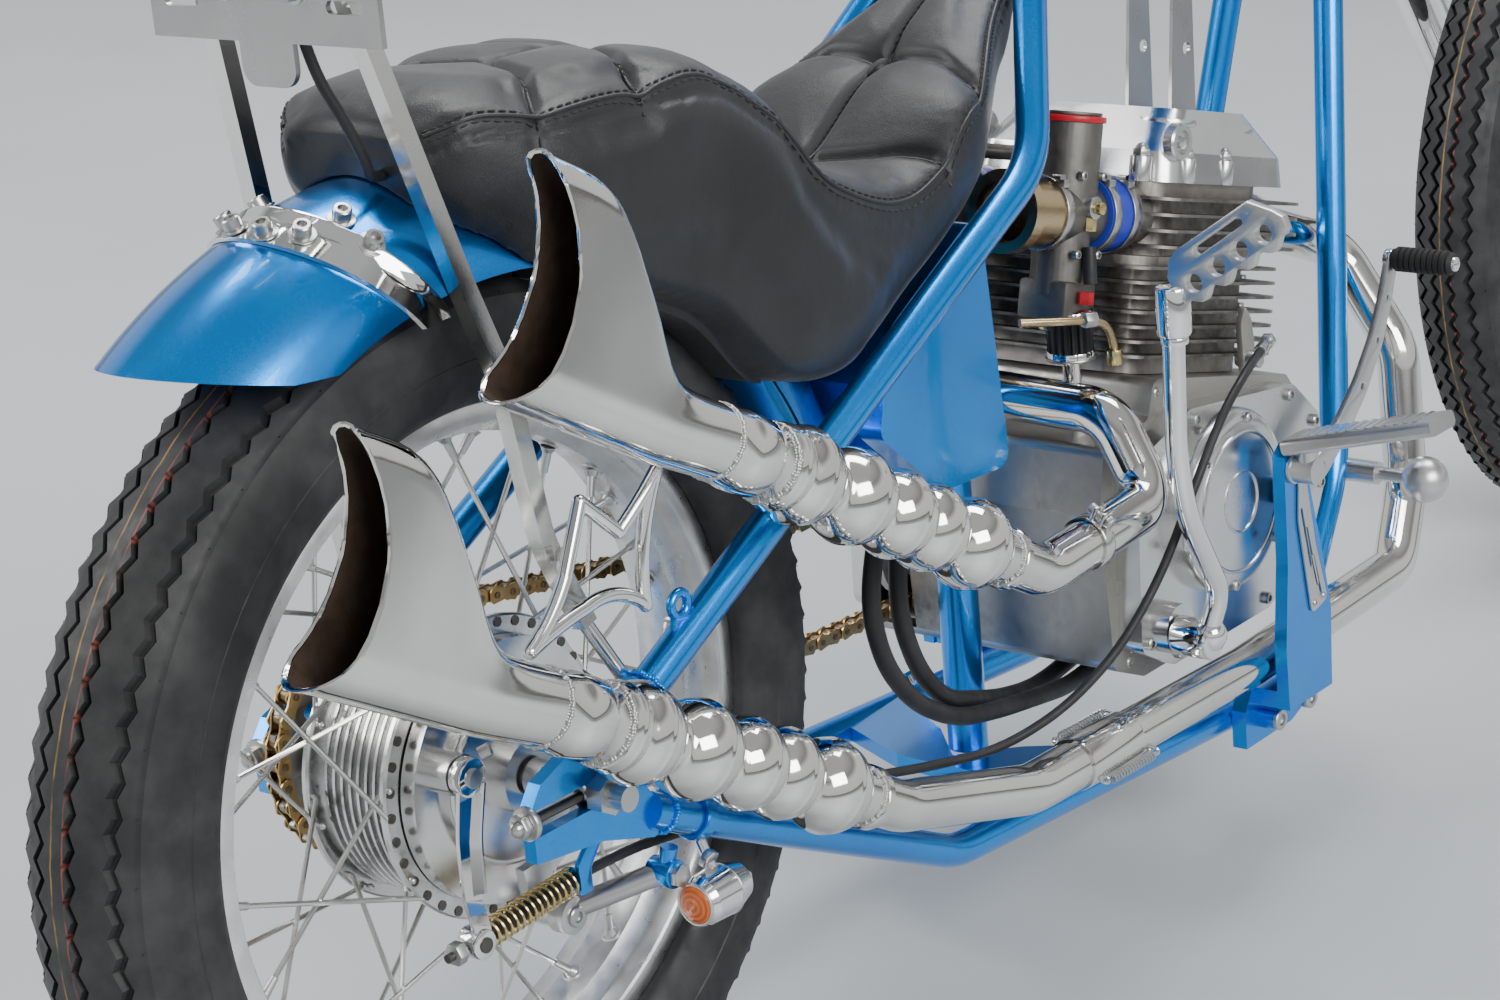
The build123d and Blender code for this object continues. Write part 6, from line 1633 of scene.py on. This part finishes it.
# Intake side: clamps on the boots, hoses and unions of the carburettors
intake = Piece("intake_fittings")
INTAKE_UP = 122.0
for out in (LEFT, RIGHT):
    aside = 58.0 * out.y
    for front, radius in ((-88.0, 29.3), (-115.0, 29.3), (-178.0, 27.2)):
        spot = engine_spot(front, aside, INTAKE_UP)
        intake.add(band(spot, CYL_FRONT, radius, -4.5, 4.5, 0.7, (1.3, 1.8), 56), STEEL)
        ear = spot + out * 18.0 + CYL_UP * (radius * 0.82 + 4)
        intake.add(cap_bolt(ear, CYL_UP.cross(CYL_FRONT), 4.0, 9), STEEL)
        intake.add(block(facing(ear - CYL_UP * 3, CYL_UP), (9, 9, 6), 0.8), STEEL)
    body = engine_spot(-147.0, aside, INTAKE_UP)
    intake.add(drum(body + CYL_UP * 70, CYL_UP, 27.5, 5, 1.2, 48), RED_CAP)
    intake.add(drum(body + CYL_UP * 75, CYL_UP, 24.0, 3, 1.0, 48), CARB_METAL)
    intake.add(block(facing(body - CYL_UP * 66, CYL_UP, CYL_FRONT), (42, 44, 30), 3.0), CARB_METAL)
    intake.add(drum(body - CYL_UP * 82, -CYL_UP, 12.0, 8, 1.0, 32), BRASS)
    for front, up in ((14.0, 30.0), (-14.0, 30.0), (14.0, -30.0), (-14.0, -30.0)):
        intake.add(cap_bolt(body + CYL_FRONT * front + CYL_UP * up + out * 22.0, out, 3.6, 5), STEEL)
    intake.add(drum(body + out * 22 + CYL_UP * 6, out, 9.0, 8, 1.0, 28), STEEL)
    intake.add(drum(body + out * 30 + CYL_UP * 6, out, 5.0, 6, 0.8, 20), BRASS)
    intake.add(tube([body + out * 26 - CYL_UP * 24, body + out * 30 - CYL_UP * 52], 5.4, sides=18), HOSE)
    intake.add(drum(body + out * 25 - CYL_UP * 12, CYL_UP, 5.0, 12, 0.8, 6), BRASS)
    intake.add(drum(body + out * 26 - CYL_UP * 58, -CYL_UP, 6.8, 10, 0.8, 6), RED_CAP)
intake.add(tube([engine_spot(-136, aside, 165) for aside in (40, -40)], 4.2, sides=20), STEEL)
oil_line = [(560, -76, 158), (585, -92, 154), (612, -104, 150), (634, -108, 140), (640, -106, 118)]
intake.add(smooth_line(oil_line, 3.4), HEATED)
intake.add(nut((606, -102, 151), (0.9, -0.35, -0.1), 6.6, 11), STEEL)
intake.add(drum((640, -106, 120), -UP, 6.0, 12, 0.8, 20), BRASS)
intake.done("frame", "steel")

# Breather: pleated filter between two bright caps
BREATHER = (634, -70)
PLEAT_STEPS = 72
breather = Piece("breather_pleated")
pleats = []
for step in range(PLEAT_STEPS):
    angle = 2 * pi * step / PLEAT_STEPS
    reach = 17.8 if step % 4 in (0, 1) else 15.2
    pleats.append((reach * cos(angle), reach * sin(angle)))
breather.add(drum((*BREATHER, 110), UP, 18.8, 8, 1.6, 48), CHROME)
breather.add(cut_sheet(pleats, [], 26.0, Matrix.Translation((*BREATHER, 129)), 0.3), HOSE)
breather.add(drum((*BREATHER, 141), UP, 18.8, 9, 2.4, 48), CHROME)
breather.add(tube([(640, -66, 56.5), (636, -69, 90), (*BREATHER, 111)], 7.0, [30], sides=24), CHROME)
for height in (112.0, 146.0):
    breather.add(ring((*BREATHER, height), UP, 18.9, 1.1, 48, 8), STEEL)
breather.done("frame", "chrome", ["breather"])

# Ends of the clutch cable on the right cover, its lever, and the switch with its lead
control = Piece("cable_ends")
cable_start = Vector((752, -168, 96))
cable_way = Vector((46, 16, 0)).normalized()
control.add(turned(
    [(0, 0.01), (0, 4.6), (3, 5.4), (20, 5.4), (22, 4.4), (30, 4.4), (31, 0.01)],
    cable_start - cable_way * 6, cable_way, 24,
), STEEL)
control.add(nut(cable_start + cable_way * 24, cable_way, 6.6, 5), STEEL)
control.add(drum((690, -128, 96), UP, 9.0, 44, 1.4, 28), BLACK)
control.add(drum((690, -128, 84), UP, 6.4, 13, 0.8, 6), BLUE)
control.add(nut((690, -128, 80), UP, 7.4, 4), STEEL)
control.add(tube([(690, -128, 82), (690, -134, 20)], 1.6, sides=10), STEEL)
control.add(slab([(792, 62), (812, 62), (806, 104), (798, 116), (790, 104)], -128, -122, 3, 0.8), RAW_ALLOY)
control.add(drum((799, -118, 72), RIGHT, 7, 16, 1.0, 28), STEEL)
control.add(nut((799, -134, 72), RIGHT, 6.4, 5), STEEL)
control.done("frame", "steel")

# Welded seams of the frame, and the licence lamp's sheathed lead
welds = Piece("frame_welds")
for centre, axis, radius in (
    ((60, -121, 49.2), (479, 0, 247), 13.4), ((60, 121, 49.2), (479, 0, 247), 13.4),
    ((62, -121, -38.8), LOWER_RAIL_WAY, 13.4), ((62, 121, -38.8), LOWER_RAIL_WAY, 13.4),
    (STEERING_HEAD, (-0.59, 0, 0.81), 25.2), ((POST_X, 0, 282), UP, 16.8),
):
    welds.add(weld_bead(centre, axis, radius, 2.0), BLUE)
welds.done("frame", "blue_paint")

LEAD = [(-77, -22, 498), (-74, -26, 470), (-62, -34, 440), (-52, -38, 412), (-46, -34, 399), (-24, -26, 398)]
Piece("licence_lamp_lead").add(smooth_line(LEAD, 3.6), HOSE).done("frame", "rubber")

# Lamp glasses
lamp_spot = Vector((-122.0, 0, 578.0))
red = lens_glass("red_tail_lens", (0.5, 0.006, 0.006), lamp_spot)
tail_glass = Piece("tail_lamp_lens")
tail_glass.add(turned(
    [(0, 0.01), (0, 23.4), (3, 23.0), (5.5, 19.0), (7.0, 12.0), (7.6, 5.0), (7.8, 0.01)], lamp_spot, BACK, 56
), red)
tail_glass.done("frame", None)
RAKE = radians(36.0)
FORK_UP = Vector((-sin(RAKE), 0, cos(RAKE)))
FORK_AHEAD = Vector((cos(RAKE), 0, sin(RAKE)))
head_spot = Vector(STEERING_HEAD) + FORK_AHEAD * 186 - FORK_UP * 16
clear = lens_glass("clear_headlamp_glass", (0.75, 0.77, 0.78), head_spot + Vector((60, 0, 0)))
head_glass = Piece("headlamp_glass")
head_glass.add(turned(
    [(66, 0.01), (66, 62), (68.5, 61), (71, 52), (73, 36), (74.4, 18), (75, 0.01)], head_spot, X_WAY, 72
), clear)
head_glass.add(ring(head_spot + Vector((65, 0, 0)), X_WAY, 66.0, 3.2, 96, 10), CHROME)
head_glass.done("steering", None)

# Bosses, ribs and plugs of the crankcase
bosses = Piece("crankcase_bosses")
for x, z, radius in (
    (622, -128, 8), (680, -134, 8), (760, -134, 8), (836, -118, 8), (884, -80, 8), (678, 76, 7),
):
    for side in (RIGHT, LEFT):
        bosses.add(drum((x, side.y * 60, z), side, radius, 56, 1.4, 24), RAW_ALLOY)
        bosses.add(cap_bolt((x, side.y * 116, z), side, radius * 0.62, 3.0), STEEL)
for z in (-112.0, -84.0, -56.0):
    bosses.add(block(Matrix.Translation((898 + (z + 84) * 0.1, 0, z)), (10, 150, 3.2), 1.2), RAW_ALLOY)
bosses.add(drum((760, 0, -144), -UP, 16, 7, 1.4, 32), RAW_ALLOY)
bosses.add(nut((760, 0, -151), -UP, 11, 6), STEEL)
for aside in (-84.0, 84.0):
    bosses.add(drum((612, aside, 20), (-1, 0, 0.1), 10, 12, 1.4, 28), RAW_ALLOY)
    bosses.add(nut((600, aside, 21), (-1, 0, 0.1), 7.5, 5), STEEL)
bosses.done("frame", "cast_alloy")

# Camera at the photograph's place, worked out from the wheel and the straight tubes
PHOTO_WIDTH = 1500
FOCAL_PIXELS = 3346.5
SENSOR = 36.0
CAMERA_SPOT = (-1426.5, -1481.7, 808.5)
CAMERA_YAW = 0.70340
CAMERA_DIP = 0.30769
CAMERA_ROLL = -0.08775
camera_data = bpy.data.cameras.new("photo_camera")
camera_data.sensor_width = SENSOR
camera_data.lens = FOCAL_PIXELS / PHOTO_WIDTH * SENSOR
camera = bpy.data.objects.new("photo_camera", camera_data)
bpy.context.scene.collection.objects.link(camera)
camera.matrix_world = (
    Matrix.Translation(BIKE @ Vector(CAMERA_SPOT)) @ Matrix.Rotation(-LEAN, 4, "X")
    @ Matrix.Rotation(CAMERA_YAW - pi / 2, 4, "Z") @ Matrix.Rotation(pi / 2 - CAMERA_DIP, 4, "X")
    @ Matrix.Rotation(CAMERA_ROLL, 4, "Z")
)
bpy.context.scene.camera = camera


# Studio: pale floor, soft light from large panels, a plain pale backdrop
PANELS = (                 # name, place, size, power, all aimed at the motorcycle
    ("window_panel", (-1.5, -4.2, 3.2), (3.2, 2.2), 235.0),
    ("ceiling_panel", (1.0, 0.8, 4.0), (3.5, 1.4), 175.0),
    ("left_panel", (-3.2, 3.2, 2.6), (2.0, 2.4), 125.0),
)
PANEL_AIM = Vector((-0.2, 0, 0.4))
SKY = (                    # how high a reflected ray points, and how pale it finds the studio there
    (0.0, 0.42), (0.005, 0.16), (0.04, 0.20), (0.06, 0.80), (0.40, 0.86), (0.55, 0.30), (0.8, 0.55),
)


def pale_floor():
    """The floor, which is stage and no part of the motorcycle."""
    floor_mesh = bpy.data.meshes.new("floor")
    shape = bmesh.new()
    bmesh.ops.create_grid(shape, x_segments=2, y_segments=2, size=30.0)
    shape.to_mesh(floor_mesh)
    floor = bpy.data.objects.new("floor", floor_mesh)
    bpy.context.scene.collection.objects.link(floor)
    tint = Nodes("studio_floor", (0.46, 0.49, 0.50), roughness=0.42, specular_ior_level=0.25)
    cloud = tint.ramp(tint.noise(1.4, 4.0), 0.3, 0.7)
    tint.show("Base Color", tint.blend(cloud, (0.45, 0.48, 0.49), (0.50, 0.53, 0.54)))
    tint.show("Normal", tint.bump(tint.noise(30.0, 3.0), 0.03, 0.002))
    floor_mesh.materials.append(tint.material)


def pale_world():
    """A plain backdrop for the camera, and a banded studio for what the metal mirrors."""
    world = bpy.data.worlds.new("studio")
    bpy.context.scene.world = world
    world.use_nodes = True
    tree = world.node_tree
    back = tree.nodes["Background"]
    place = tree.nodes.new("ShaderNodeTexCoord")
    parts = tree.nodes.new("ShaderNodeSeparateXYZ")
    tree.links.new(place.outputs["Generated"], parts.inputs[0])
    ramp = tree.nodes.new("ShaderNodeValToRGB")
    tree.links.new(parts.outputs["Z"], ramp.inputs[0])
    elements = ramp.color_ramp.elements
    while len(elements) < len(SKY):
        elements.new(0.5)
    for element, (where, level) in zip(elements, SKY):
        element.position = where
        element.color = (level, level * 1.01, level * 1.03, 1)
    path = tree.nodes.new("ShaderNodeLightPath")
    choose = tree.nodes.new("ShaderNodeMix")
    choose.data_type = "RGBA"
    colours = [socket for socket in choose.inputs if socket.type == "RGBA"]
    tree.links.new(path.outputs["Is Camera Ray"], choose.inputs["Factor"])
    tree.links.new(ramp.outputs[0], colours[0])
    colours[1].default_value = (0.80, 0.81, 0.82, 1)
    mixed = [socket for socket in choose.outputs if socket.type == "RGBA"][0]
    tree.links.new(mixed, back.inputs["Color"])
    back.inputs["Strength"].default_value = 0.9


pale_floor()
pale_world()
for name, spot, size, power in PANELS:
    light = bpy.data.lights.new(name, "AREA")
    light.shape = "RECTANGLE"
    light.size, light.size_y = size
    light.energy = power
    lamp = bpy.data.objects.new(name, light)
    lamp.location = spot
    lamp.rotation_mode = "QUATERNION"
    lamp.rotation_quaternion = (PANEL_AIM - Vector(spot)).to_track_quat("-Z", "Y")
    bpy.context.scene.collection.objects.link(lamp)
